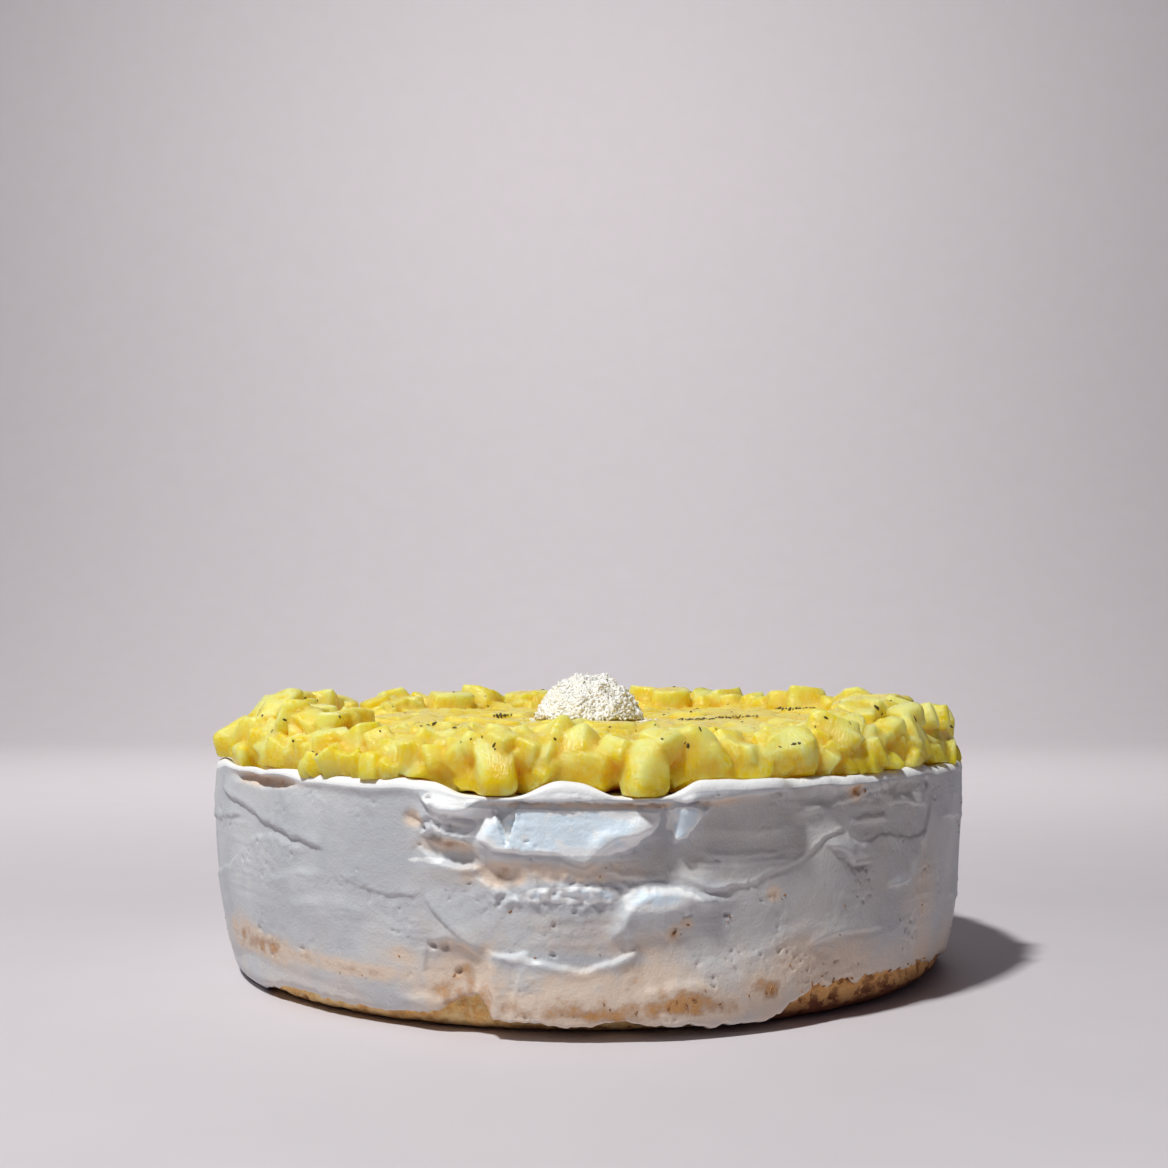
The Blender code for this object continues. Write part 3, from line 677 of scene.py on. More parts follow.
def cream_relief(azimuth, height):
    """How far the cream stands out from the cake's radius, and how deep it lies, from 0 to 1."""
    around = turned_to(azimuth, 0)
    points = on_circle(azimuth, CAKE_RADIUS, height)
    u, v = torn(np.radians(around) * CAKE_RADIUS, height, points)
    relief = LEAST_RELIEF + wobble(points, SWELL_LENGTH, 3.7) * SWELL_DEPTH
    at_sides = between(np.abs(around), *WIDER_SIDES)
    relief = relief + at_sides * (SIDE_SWELL + UPPER_SIDE_SWELL * smoothstep(24, 50, height))
    front = [(on_side(line), *rest) for line, *rest in FRONT_STROKES]
    around_cake = 2 * math.pi * CAKE_RADIUS
    for line, thickness, fade, side, edge in front + back_smears() + back_strokes():
        line = smooth_line(line)
        middle = line[:, 0].mean()
        shifted = u + around_cake * np.round((middle - u) / around_cake)
        relief = relief + stroke_relief(shifted, v, line, thickness, fade, side, edge)
    relief = np.minimum(relief, MOST_RELIEF - 0.5 * np.exp(-relief.clip(0)))
    relief = with_ramp(u, v, relief)
    for line, high, width in FRONT_RIDGES:
        relief = relief + ridge_relief(u, v, smooth_line(on_side(line)), high, width)
    for pixel, half_width, half_height, out in FRONT_BULGES:
        relief = relief + out * spot(u, v, side_at(*pixel), half_width, half_height, 1.4)
    depth = smoothstep(0.6, -3.2, relief)
    for pixel, radius, deep in FRONT_PITS:
        relief = relief - deep * spot(u, v, side_at(*pixel), radius, radius, 1.5)
    return relief + fine_relief(u, v, points), depth


def fine_relief(u, v, points):
    """Knife streaks, small lumps and pits, and the larger lumps where the cream is broken."""
    streaky = np.stack([u / 16, v, 0 * u], axis=-1)
    streaks = wobble(streaky, 1.6, 31) * 0.16 + wobble(streaky, 0.8, 61) * 0.07
    strength = smoothstep(-0.3, 0.5, wobble(points, 18, 71))
    lumps = wobble(points, 2.6, 81) * 0.16 + wobble(points, 1.3, 91) * 0.08
    rough = smoothstep(0.05, 0.45, wobble(points, 11, 101))
    big_lumps = wobble(points, 2.3, 111) * 1.2 + wobble(points, 1.1, 121) * 0.5
    pitted = smoothstep(0.42, 0.62, wobble(points, 1.4, 131)) * 0.45 * rough
    return streaks * strength + lumps * (0.35 + rough) + big_lumps * crumbly_band(u, v) - pitted


def crumbly_band(u, v):
    """Where the cream is broken into little lumps: below the ledge in the middle, beside that and in the
    torn hollow on its left, and under the lip on the right."""
    middle = spot(u, v, side_at(574, 893), 13.5, 3.2, 1)
    left = spot(u, v, side_at(505, 899), 4, 2)
    torn_left = spot(u, v, side_at(436, 832), 6, 3.4)
    right = spot(u, v, side_at(884, 785), 15, 4.5) * 0.55
    return np.maximum.reduce([middle, left, torn_left, right])


def stains_and_painted_light(u, v, points, depth):
    """How far the cream's colour goes from white towards beige and crust: 0 is white, 1 is beige, 2 is
    crust. It is the sponge's colour coming through thin cream, with painted shade in the recesses and
    hollows, more beige towards the foot, and, below zero, painted highlights where light falls on the
    cream.
    """
    off_left = smoothstep(-70, -20, u)
    # Where the relief lies deeper the cream turns more beige: partly thin cream over the sponge, partly
    # painted shade in the recesses.
    stain_and_painted_light = 0.10 + (0.10 + 0.14 * off_left) * depth + (0.14 + 0.20 * off_left) * smoothstep(26, 6, v)
    stain_and_painted_light = stain_and_painted_light + 0.25 * wobble(points, 13, 141) * smoothstep(40, 10, v)
    ragged = 1 + 0.9 * wobble(points, 3, 151)
    # The listed spots add stains where the sponge shows through, painted shade in recesses and hollows and,
    # below zero, painted highlights.
    for pixel, half_width, half_height, strength in FRONT_STAINS_AND_PAINTED_LIGHT:
        stain_and_painted_light = stain_and_painted_light + strength * ragged * spot(u, v, side_at(*pixel), half_width, half_height, 1.1)
    hidden = smoothstep(1.15, 1.4, np.abs(u) / CAKE_RADIUS)
    patches = smoothstep(0.25, 0.7, wobble(points, 9, 161)) * smoothstep(24, 8, v)
    return stain_and_painted_light + hidden * patches * 0.8


def lip_rise(azimuth):
    """Height of the lip above the cream's flat top."""
    rise = LIP_HEIGHT + wobble(on_circle(azimuth, CAKE_RADIUS, 0), LIP_WAVE, 9.1) * LIP_UNEVENNESS
    for centre, half_width in LIP_NOTCHES:
        around = turned_to(azimuth, centre) - centre
        rise = rise * (1 - 0.97 * np.exp(-((around / half_width) ** 4)))
    return rise


def lower_edge(azimuth):
    """Height of the cream's ragged lower edge."""
    around = turned_to(azimuth, 0)
    foot = on_circle(azimuth, CAKE_RADIUS, 0)
    shown = np.interp(around, [p[0] for p in LOWER_EDGE], [p[1] for p in LOWER_EDGE])
    hidden = 3.2 + 3 * wobble(foot, 26, 5.3)
    behind = smoothstep(70, 85, np.abs(around))
    ragged = wobble(foot, 4, 6.3) * 0.9 + wobble(foot, 1.6, 7.3) * 0.45
    ragged = ragged * (1 + 1.1 * between(around, *RAGGED_FOOT))
    edge = shown * (1 - behind) + hidden * behind + ragged * smoothstep(0.9, 3, shown + 3 * behind)
    return np.maximum(edge, 0.15)


def sponge_radius(height):
    """Radius of the sponge, whose lower edge is rounded by its baking ring."""
    left = np.clip(1 - height / BASE_ROUNDING, 0, 1)
    return SPONGE_RADIUS - (SPONGE_RADIUS - BASE_RADIUS) * (1 - np.sqrt(1 - left**2))


def cream_azimuths():
    """Where the columns of the cream's mesh stand: closer together in front, where the camera looks."""
    front = np.arange(-88, 88, FRONT_FINENESS)
    back = np.arange(88, 272, BACK_FINENESS)
    return np.concatenate([front, back])


def thinned(obj, triangles):
    """Gives an object the same surface in fewer triangles, which stay small only where it bends."""
    obj.data.calc_loop_triangles()
    thin = obj.modifiers.new("thin", "DECIMATE")
    thin.ratio = min(1.0, triangles / len(obj.data.loop_triangles))
    graph = bpy.context.evaluated_depsgraph_get()
    full = obj.data
    obj.data = bpy.data.meshes.new_from_object(
        obj.evaluated_get(graph), preserve_all_data_layers=True, depsgraph=graph
    )
    obj.modifiers.clear()
    bpy.data.meshes.remove(full)
    obj.data.name = obj.name


def evened(values, reach):
    """The running mean of values round a ring."""
    return sum(np.roll(values, shift) for shift in range(-reach, reach + 1)) / (2 * reach + 1)


def wall_radius(turn, low, height):
    """The cream's outer radius on the side, and how deep its relief lies there, from 0 to 1."""
    relief, depth = cream_relief(turn, height)
    around = turned_to(turn, 0)
    full = between(around, *FULL_FOOT)
    taper = FOOT_TAPER * np.clip(1 - height / FOOT_TAPER_HEIGHT, 0, 1) ** 2 * (1 - 0.85 * full)
    slanted = between(around, *SLANTED_FOOT)
    corner = LEFT_CORNER * slanted * np.clip(1 - height / LEFT_CORNER_HEIGHT, 0, 1) ** 2
    inside = sponge_radius(height) + 2 * FIT_GAP
    thinnest = EDGE_THICKNESS + (THINNEST_CREAM - EDGE_THICKNESS) * smoothstep(0, 2.2, height - low)
    outer = np.maximum(CAKE_RADIUS - taper - corner + relief, inside + thinnest)
    drawn_in = 0.2 + 0.45 * smoothstep(1, 3, low)
    return inside + (outer - inside) * (1 - drawn_in * smoothstep(1.1, 0, height - low)), depth


def make_cream():
    """The coconut cream, smeared on with a knife."""
    azimuth = cream_azimuths()
    low = lower_edge(azimuth)
    rise = lip_rise(azimuth)
    rim = on_circle(azimuth, CAKE_RADIUS, 0)
    torn_lip = between(azimuth, *TORN_LIP)
    uneven = (0.24 + 0.1 * torn_lip) * wobble(rim, 13, 191) + 0.05 * wobble(rim, 5, 195)
    crest = CREAM_TOP + rise * (1 + uneven)
    rounding = (0.5 + 0.55 * rise) * (1 - 0.5 * between(azimuth, *THIN_LIP))
    brow = crest - rounding
    height = low + (brow - low) * np.linspace(0, 1, WALL_ROWS)[:, None]
    turn = azimuth[None, :] + 0 * height
    outer, depth = wall_radius(turn, low, height)
    even = evened(outer[-1], LIP_EVENING)
    outer = outer + (even - outer[-1]) * smoothstep(brow - 2.5, brow, height)
    wall = on_circle(turn, outer, height)
    lip = lip_rings(azimuth, even, brow, crest, rounding, 1 + 0.5 * torn_lip)
    inner_heights = low + (SPONGE_TOP + FIT_GAP - low) * np.linspace(1, 0, 7)[:, None] ** 2
    inner_turn = azimuth[None, :] + 0 * inner_heights
    inner = on_circle(inner_turn, sponge_radius(inner_heights) + 2 * FIT_GAP, inner_heights)
    ceiling = on_circle(azimuth[None, :], 20, np.full((1, len(azimuth)), SPONGE_TOP + FIT_GAP))
    cream = mesh_object("cream_coat", *lathe(np.concatenate([ceiling, inner, wall, lip])))
    # The stain value is set on the wall only. It carries the sponge showing through, painted shade and
    # painted highlights; the lip and top keep zero, which the material paints whitest, a painted light.
    stain_and_painted_light = np.zeros(len(cream.data.vertices))
    first = (1 + len(inner)) * len(azimuth)
    wall_stain_and_painted_light = stains_and_painted_light(np.radians(turned_to(turn, 0)) * CAKE_RADIUS, height, wall, depth)
    stain_and_painted_light[first : first + wall_stain_and_painted_light.size] = wall_stain_and_painted_light.ravel()
    add_values(cream, "stain_and_painted_light", stain_and_painted_light)
    thinned(cream, CREAM_TRIANGLES)
    return finish_piece(cream, cream_material(), ["coconut_cream"])


def lip_rings(azimuth, radius, brow, crest, rounding, roughness):
    """The lip from its brow over the crest, down to the flat top and in to the middle."""
    rings = []
    for angle in np.linspace(12, 90, 9):
        out = radius - rounding * 0.95 * (1 - math.cos(math.radians(angle)))
        up = brow + rounding * math.sin(math.radians(angle))
        rings.append(on_circle(azimuth, out, up))
    crest_radius = radius - rounding * 0.95
    for share in (0.3, 0.6, 0.85, 1):
        inward = crest_radius * (1 - share) + (CAKE_RADIUS - LIP_WIDTH - 2.5) * share
        fall = crest - (crest - CREAM_TOP) * smoothstep(0.05, 1, share)
        rings.append(on_circle(azimuth, inward, fall))
    rings = np.array(rings)
    bumps = wobble(rings, 10, 171) * 0.45 + wobble(rings, 3, 181) * 0.12
    weight = np.sin(np.linspace(0.25, math.pi, len(rings)))[:, None]
    rings = rings + (outward(rings) * 0.4 + (0, 0, 0.6)) * (bumps * weight * roughness)[..., None]
    flat = [on_circle(azimuth, reach, CREAM_TOP + 0 * azimuth) for reach in (104, 60, 12)]
    return np.concatenate([rings, flat])


# Genoise


def make_sponge():
    """The genoise, whose browned, crumbly crust shows below the cream."""
    azimuth = np.arange(0, 360, 0.5)
    rings = [on_circle(azimuth, reach, 0) for reach in (20, 55, 80, 92, 99, 103)]
    for angle in np.linspace(0, 90, 9):
        turn = math.radians(angle)
        out = BASE_RADIUS - 2 + (SPONGE_RADIUS - BASE_RADIUS + 2) * math.sin(turn)
        rings.append(on_circle(azimuth, out, BASE_ROUNDING * (1 - math.cos(turn))))
    for height in np.concatenate([np.arange(6.8, 18, 0.8), (30, 44, SPONGE_TOP - 0.6)]):
        rings.append(on_circle(azimuth, SPONGE_RADIUS, height))
    rings += [on_circle(azimuth, reach, SPONGE_TOP) for reach in (SPONGE_RADIUS - 0.8, 20)]
    rings = np.array(rings)
    shown = smoothstep(96, 104, np.linalg.norm(rings[..., :2], axis=-1))
    waves = np.abs(wobble(rings, 9, 1.3)) * CRUST_DIP
    pores = smoothstep(0.05, 0.5, wobble(rings, 2.6, 2.3)) * 1.1 + np.abs(wobble(rings, 1.3, 3.3)) * 0.8
    rings = rings - outward(rings) * ((waves + pores) * shown)[..., None]
    sponge = mesh_object("genoise", *lathe(rings))
    return finish_piece(sponge, crust_material(), ["sponge"])


# Pineapple


def dice_spots(draw):
    """Where the first layer's pieces stand: a rank along the rim, and a loose honeycomb inside it."""
    spots = []
    count = int(2 * math.pi * RIM_DICE_RADIUS / DICE_PITCH)
    for index in range(count):
        azimuth = 360 * (index + draw.uniform(-0.12, 0.12)) / count
        spots.append(on_circle(azimuth, RIM_DICE_RADIUS + draw.uniform(-1.4, 0.8), 0))
    reach = RIM_DICE_RADIUS - 0.86 * DICE_PITCH
    rows = int(reach / (DICE_PITCH * HONEYCOMB)) + 1
    for row in range(-rows, rows + 1):
        for column in range(-rows - 1, rows + 1):
            x = (column + 0.5 * (row % 2)) * DICE_PITCH + draw.uniform(-1.2, 1.2)
            y = row * DICE_PITCH * HONEYCOMB + draw.uniform(-1.2, 1.2)
            if math.hypot(x, y) < reach:
                spots.append(np.array((x, y, 0.0)))
    return spots


def dice_list():
    """Every pineapple piece as (place, size, tilt), in the places that they have in the solids, but for
    the upper ones in front, which lie lower."""
    draw = random.Random(SEED)
    pieces = [lower_piece(draw, spot) for spot in dice_spots(draw)]
    for azimuth in np.arange(0, 360, UPPER_STEP):
        in_front = abs(turned_to(azimuth, 0)) < LOW_FRONT
        if draw.random() < (UPPER_CHANCE_IN_FRONT if in_front else UPPER_CHANCE):
            place, size, tilt = upper_piece(draw, azimuth)
            sink = FRONT_SINK if abs(turned_to(azimuth, 0)) < SUNK_FRONT else 0
            pieces.append((place - (0, 0, sink), size, tilt))
    kept = [piece for piece in pieces if not near_front_piece(piece)]
    return kept + [front_piece(draw, *numbers) for numbers in FRONT_PIECES]


def lower_piece(draw, spot):
    """A piece that stands on the cream. Its top is level with the others away from the rim."""
    radius = math.hypot(*spot[:2])
    at_rim = radius > LEVEL_RADIUS
    spin = 200 * float(wobble(spot, 60, 11.3)) + draw.uniform(-10, 10)
    if radius > RIM_DICE_RADIUS - DICE_PITCH / 2:
        spin = math.degrees(math.atan2(spot[0], -spot[1])) + draw.uniform(-22, 22)
    lean = RIM_LEAN if at_rim else LEVEL_LEAN
    size = [DICE_SIZE * draw.uniform(0.78, 1) for _ in range(3)]
    top = DICE_TOP + draw.uniform(-0.9, 0.9)
    if at_rim:
        top = DICE_TOP + draw.uniform(-3.2, 2.2)
    if radius < HEAP_RADIUS + DICE_SIZE:
        top = DICE_TOP - HEAP_CLEARANCE
        lean = 0
    floor = CREAM_TOP + FIT_GAP + 0.7
    size[2] = top - floor if at_rim else DICE_SIZE
    place = spot + np.array((0, 0, top - size[2] / 2))
    tilt = (draw.uniform(-lean, lean), draw.uniform(-lean, lean), spin)
    return place, size, tilt


def upper_piece(draw, azimuth):
    """A piece that lies on the first layer, close to the rim."""
    size = [DICE_SIZE * draw.uniform(0.78, 0.98) for _ in range(3)]
    height = DICE_TOP + draw.uniform(0.4, 3)
    place = on_circle(azimuth + draw.uniform(-2, 2), draw.uniform(*UPPER_BAND), height)
    lean = [draw.uniform(-UPPER_LEAN, UPPER_LEAN) for _ in range(2)]
    return place, size, (*lean, draw.uniform(0, 90))


def near_front_piece(piece):
    """True where one of the pieces placed singly needs the room."""
    return any(
        np.hypot(*(piece[0][:2] - on_circle(turn, away, 0)[:2])) < 0.52 * DICE_PITCH
        for turn, away, *_ in FRONT_PIECES
    )


def front_piece(draw, azimuth, radius, foot, width, depth, height, lean, spin):
    """One of the pieces placed singly. It leans about its own middle."""
    place = on_circle(azimuth, radius, foot + height / 2)
    return place, [width, depth, height], (-lean, draw.uniform(-2, 2), azimuth + spin)


def bank_top(azimuth, radius):
    """Height of the bank of smaller pieces that runs round all of the rim but the front."""
    raised = float(smoothstep(36, 50, abs(turned_to(azimuth, 0))))
    hump = math.exp(-(((radius - 99) / 8.5) ** 2))
    return BANK_BASE + BANK_RISE * raised * hump - BANK_FALL * raised * float(smoothstep(103, 114, radius))


def filler_list():
    """Pieces at all angles in the front rank, which break up its order."""
    draw = random.Random(SEED + 9)
    fillers = []
    for index in range(FILLERS):
        azimuth = -FILLER_REACH + 2 * FILLER_REACH * (index + draw.uniform(0.1, 0.9)) / FILLERS
        size = [draw.uniform(8.5, 12.5) for _ in range(3)]
        tilt = [draw.uniform(-45, 45) for _ in range(3)]
        place = on_circle(azimuth, draw.uniform(104.5, 109.5), draw.uniform(69.5, 74))
        fillers.append((place, size, tilt))
    return fillers


def scrap_list():
    """Smaller pieces, lodged between the dice and banked up on them round the rim."""
    draw = random.Random(SEED + 3)
    scraps = []
    for index in range(SCRAPS):
        azimuth = 360 * (index * SCRAP_SPREAD % 1) + draw.uniform(-1, 1)
        in_front = abs(turned_to(azimuth, 0)) < 40
        radius = draw.uniform(88, 102) if in_front else draw.uniform(89, 112.5)
        size = [draw.uniform(6, 9.5) for _ in range(3)]
        height = bank_top(azimuth, radius) - size[2] / 2 + draw.uniform(-1, 1.4)
        tilt = [draw.uniform(-25, 25), draw.uniform(-25, 25), draw.uniform(0, 360)]
        scraps.append((on_circle(azimuth, radius, height), size, tilt))
    for index in range(FRONT_SCRAPS):
        share = (index + draw.uniform(0.1, 0.9)) / FRONT_SCRAPS
        azimuth = -FRONT_SCRAP_REACH + 2 * FRONT_SCRAP_REACH * share
        size = [draw.uniform(5.5, 9.5) for _ in range(3)]
        tilt = [draw.uniform(-40, 40), draw.uniform(-40, 40), draw.uniform(0, 360)]
        height = draw.uniform(67.5, 75.5)
        radius = 112.5 - 0.7 * (height - 67.5) + draw.uniform(-1, 1)
        scraps.append((on_circle(azimuth, radius, height), size, tilt))
    for azimuth, radius, height, length in PERCHED:
        tilt = [draw.uniform(-30, 30), draw.uniform(-30, 30), draw.uniform(0, 360)]
        scraps.append((on_circle(azimuth, radius, height), [length, length * 0.85, length * 0.8], tilt))
    return scraps


def cube_skin(steps):
    """The skin of a cube from -1 to 1, as points and quads, closer together towards its edges."""
    mesh = bmesh.new()
    bmesh.ops.create_cube(mesh, size=2)
    bmesh.ops.subdivide_edges(mesh, edges=mesh.edges[:], cuts=steps - 1, use_grid_fill=True)
    points = np.array([v.co for v in mesh.verts])
    quads = np.array([[v.index for v in f.verts] for f in mesh.faces])
    mesh.free()
    return np.sign(points) * (1 - (1 - np.abs(points)) ** 1.5), quads


def cut_off(points, facing, share):
    """Presses back what lies beyond a share of a piece's reach in one direction, as a cut would."""
    facing = np.array(Vector(facing).normalized())
    reach = points @ facing
    over = np.maximum(reach - reach.max() * share, 0)
    return points - over[:, None] * facing * 0.92


def chunk(
    skin, piece, draw, cuts, width=(0, 0), faced=False, least=0.62, shake=0, rounding=CHUNK_ROUNDING
):
    """A fibrous piece of fruit with uneven corners, a sloping top and a few slanting cuts, at least as
    wide as width, and turned by up to shake degrees. A faced one has three cuts more, the last of which
    faces away from the cake and up. The other cuts leave at least the share least of the piece. The
    result is its points, and for each of them its place in the fruit in millimetres, with the fibres
    along Z."""
    place, size, tilt = piece
    tilt = [angle + cuts.uniform(-shake, shake) for angle in tilt]
    slope = [draw.uniform(-1.6, 1.6) * DICE_UNEVENNESS / length for length in size[:2]]
    corners = {}
    for side in ((-1, -1), (1, -1), (1, 1), (-1, 1)):
        corners[side] = [draw.uniform(-DICE_UNEVENNESS, DICE_UNEVENNESS) for _ in range(2)]
    half = np.maximum(size, (*width, 0)) / 2
    points = skin * half
    core = half - rounding
    inner = np.clip(points, -core, core)
    way = points - inner
    way /= np.linalg.norm(way, axis=-1, keepdims=True)
    along = cuts.choice(((0, 1, 2), (0, 1, 2), (1, 2, 0), (2, 0, 1)))
    fibres = points[:, along] + [cuts.uniform(0, 400) for _ in range(3)]
    grain = fibres * (1, 1, FIBRE_STRETCH)
    relief = wobble(fibres, 6, 0) * 1.1 + wobble(fibres, 2.6, 5) * 0.4 + wobble(grain, 1, 9) * 0.26
    points = inner + way * (rounding + relief[:, None] * min(1.0, rounding))
    share = points / half
    for (side_x, side_y), (dx, dy) in corners.items():
        weight = (1 + side_x * share[:, 0]) * (1 + side_y * share[:, 1]) / 4
        points = points + weight[:, None] * (dx, dy, 0)
    lift = slope[0] * points[:, 0] + slope[1] * points[:, 1]
    points[:, 2] += lift * (1 + share[:, 2]) / 2
    points = points @ np.array(Euler([math.radians(a) for a in tilt]).to_matrix()).T
    for _ in range(CHUNK_CUTS + 2 * faced):
        points = cut_off(points, [cuts.uniform(-1, 1) for _ in range(3)], cuts.uniform(least, 0.92))
    if faced:
        away = Vector((place[0], place[1], 0)).normalized()
        aside = away.cross((0, 0, 1)) * cuts.uniform(-0.7, 0.7)
        facing = away + aside + Vector((0, 0, cuts.uniform(0.4, 1.2)))
        points = cut_off(points, facing, cuts.uniform(0.5, 0.74))
    return points + place, grain


def above_cream(points):
    """Lifts what would sink into the cream's top or its lip."""
    radius = np.linalg.norm(points[:, :2], axis=-1)
    azimuth = np.degrees(np.arctan2(points[:, 0], -points[:, 1]))
    crest = CREAM_TOP + lip_rise(azimuth) + 0.3
    over_lip = radius > CAKE_RADIUS - LIP_WIDTH - 2.6
    least = np.where(over_lip, crest, CREAM_TOP + FIT_GAP)
    outside = radius > CAKE_RADIUS + 0.4
    points[:, 2] = np.where(outside, points[:, 2], np.maximum(points[:, 2], least))
    return points


def pulp_bed():
    """The low bed of pulp and juice that the pieces stand in."""
    azimuth = np.arange(0, 360, 2)
    floor = CREAM_TOP + FIT_GAP
    profile = [(30, floor), (110, floor), (112.6, 66), (112.8, 70), (111.2, 73.2), (106, 75.4)]
    profile += [(99, 76.2), (LEVEL_RADIUS, 76.6)] + [(reach, 76.8) for reach in range(81, 3, -3)]
    rings = np.array([on_circle(azimuth, reach, height) for reach, height in profile])
    swell = wobble(rings, 4.5, 201) * 0.7 + wobble(rings, 1.6, 203) * 0.3
    swell[:2] = 0
    rings[..., 2] += swell
    points, faces = lathe(rings)
    return points, faces, points * 0.5, PULP_TONE


def united(name, parts):
    """The outside of many closed meshes that run into each other, as the points and the triangles of one
    mesh."""
    first, *others = [mesh_object(name, points, faces) for points, faces, *_ in parts]
    pieces = bpy.data.collections.new(name)
    for other in others:
        pieces.objects.link(other)
    union = first.modifiers.new("union", "BOOLEAN")
    union.operation = "UNION"
    union.operand_type = "COLLECTION"
    union.collection = pieces
    union.solver = "MANIFOLD"
    mesh = bpy.data.meshes.new_from_object(first.evaluated_get(bpy.context.evaluated_depsgraph_get()))
    for obj in (first, *others):
        bpy.data.meshes.remove(obj.data)
    bpy.data.collections.remove(pieces)
    points, triangles = skin_of(mesh)
    bpy.data.meshes.remove(mesh)
    return points.astype(float) / MM, triangles


def neighbours_mean(values, pairs):
    """The mean of each point's neighbours, over pairs of points that are joined."""
    ends = np.concatenate([pairs, pairs[:, ::-1]])
    count = np.maximum(np.bincount(ends[:, 0], minlength=len(values)), 1)
    columns = values.reshape(len(values), -1)
    sums = [np.bincount(ends[:, 0], column[ends[:, 1]], len(values)) / count for column in columns.T]
    return np.stack(sums, axis=-1).reshape(values.shape)


def point_normals(points, triangles):
    """The way the surface faces at each point."""
    a, b, c = (points[triangles[:, k]] for k in range(3))
    facing = np.cross(b - a, c - a)
    normals = np.zeros(points.shape)
    for corner in range(3):
        for axis in range(3):
            normals[:, axis] += np.bincount(triangles[:, corner], facing[:, axis], len(points))
    return normals / np.maximum(np.linalg.norm(normals, axis=-1, keepdims=True), 1e-9)


def softened(points, triangles):
    """Juice settles in the creases: fills them a little, and tells how deep in one each point lies."""
    pairs = np.concatenate([triangles[:, ends] for ends in ((0, 1), (1, 2), (2, 0))])
    pairs = np.unique(np.sort(pairs, axis=1), axis=0)
    crease = np.zeros(len(points))
    for turn in range(CREASE_FILLS):
        pull = neighbours_mean(points, pairs) - points
        hollow = np.sum(pull * point_normals(points, triangles), axis=-1)
        if turn < 3:
            crease = np.maximum(crease, smoothstep(0.03, 0.3, hollow))
        points = points + pull * np.where(hollow > 0, CREASE_PULL, RIDGE_PULL)[:, None]
    for _ in range(CREASE_FILLS):
        crease = np.maximum(crease, 1.15 * neighbours_mean(crease, pairs) - 0.02)
    return points, np.clip(crease, 0, 1)


def make_pineapple():
    """The diced pineapple, packed close and wet with its juice, on a bed of its own pulp."""
    coarse, middle, fine, small = (cube_skin(steps) for steps in (5, 8, 11, 5))
    draw = random.Random(SEED + 1)
    cuts = random.Random(SEED + 4)
    parts = [pulp_bed()]

    def add(skin, piece, on_top=True, least_tone=0, **how):
        points, grain = chunk(skin[0], piece, draw, cuts, **how)
        points = above_cream(points) if on_top else points
        parts.append((points, [skin[1]], grain, cuts.uniform(least_tone, 1)))

    for piece in dice_list():
        radius = math.hypot(*piece[0][:2])
        azimuth = math.degrees(math.atan2(piece[0][0], -piece[0][1]))
        seen = radius > 96 and abs(azimuth) < 76
        skin = fine if seen else (middle if radius > LEVEL_RADIUS else coarse)
        on_rim = radius > RIM_DICE_RADIUS - DICE_PITCH / 2
        if radius > OVER_LIP_RADIUS:
            # The pieces over the lip take a tone of at least 0.5, so they are painted paler: painted light,
            # for the light that comes through them.
            add(skin, piece, least_tone=0.5, width=OVER_LIP_WIDTH, faced=True, least=0.74, shake=6,
                rounding=SOFT_ROUNDING)
        else:
            width = (DICE_PITCH * PACKING, 0 if on_rim else DICE_PITCH * PACKING)
            add(skin, piece, width=width, faced=radius > 94, shake=18 if on_rim else 4)
    for piece in filler_list():
        add(middle, piece)
    for piece in scrap_list():
        add(small, piece, least=0.8, rounding=SCRAP_ROUNDING)
    for azimuth, radius, height, size in DRIPS:
        piece = (on_circle(azimuth, radius, height), [size, size * 0.8, size * 1.2], (0, 0, azimuth))
        add(small, piece, on_top=False, least=0.6, shake=25, rounding=SCRAP_ROUNDING)
    points, triangles = united("pineapple", parts)
    before, grain, tone = gathered(parts)
    source = KDTree(len(before))
    for index, point in enumerate(before):
        source.insert(point, index)
    source.balance()
    nearest = np.array([source.find(point)[1] for point in points])
    points, crease = softened(points, triangles)
    fruit = mesh_object("pineapple", points, [triangles])
    add_vectors(fruit, "grain", grain[nearest])
    add_values(fruit, "tone", tone[nearest])
    # The material paints the creases deeper gold from this depth: painted shade.
    add_values(fruit, "crease", crease)
    return finish_piece(fruit, pineapple_material(), ["pineapple_dice"])


# Grated coconut


def heap_top(x, y):
    """Height of the heap's surface, lumps included."""
    distance = math.hypot(x, y) / HEAP_RADIUS
    lumps = noise.noise(Vector((x / 5, y / 5, 7.7))) * 2 + noise.noise(Vector((x / 1.9, y / 1.9, 1.7)))
    rise = HEAP_HEIGHT * max(0, 1 - distance**HEAP_ROUNDNESS)
    return DICE_TOP - 0.5 + rise + lumps * min(1, rise / 3)


def shred(draw, x, y, height, facing):
    """One shred of coconut: a short, thin strip that curls a little and lies on the heap's slope."""
    length = draw.triangular(0.7, 3.8, 1)
    width, thickness = draw.uniform(0.4, 1.2), draw.uniform(0.25, 0.55)
    bend, twist = draw.uniform(-0.5, 0.5), draw.uniform(-1, 1)
    points = []
    for share in np.linspace(-0.5, 0.5, SHRED_STEPS):
        taper = 1 - 0.55 * (2 * abs(share)) ** 3
        middle = np.array((share * length, 0, bend * (share**2) * length))
        roll = twist * share
        across = np.array((0, math.cos(roll), math.sin(roll))) * width / 2 * taper
        up = np.array((0, -math.sin(roll), math.cos(roll))) * thickness / 2 * taper
        points += [middle - across - up, middle + across - up, middle + across + up, middle - across + up]
    lift = 1.3 if draw.random() < 0.14 else 0.2
    tilt = Euler((draw.uniform(-0.4, 0.4), draw.uniform(-lift, lift), draw.uniform(0, 2 * math.pi)))
    turn = np.array(facing.to_track_quat("Z", "Y").to_matrix() @ tilt.to_matrix())
    return np.array(points) @ turn.T + (x, y, height)


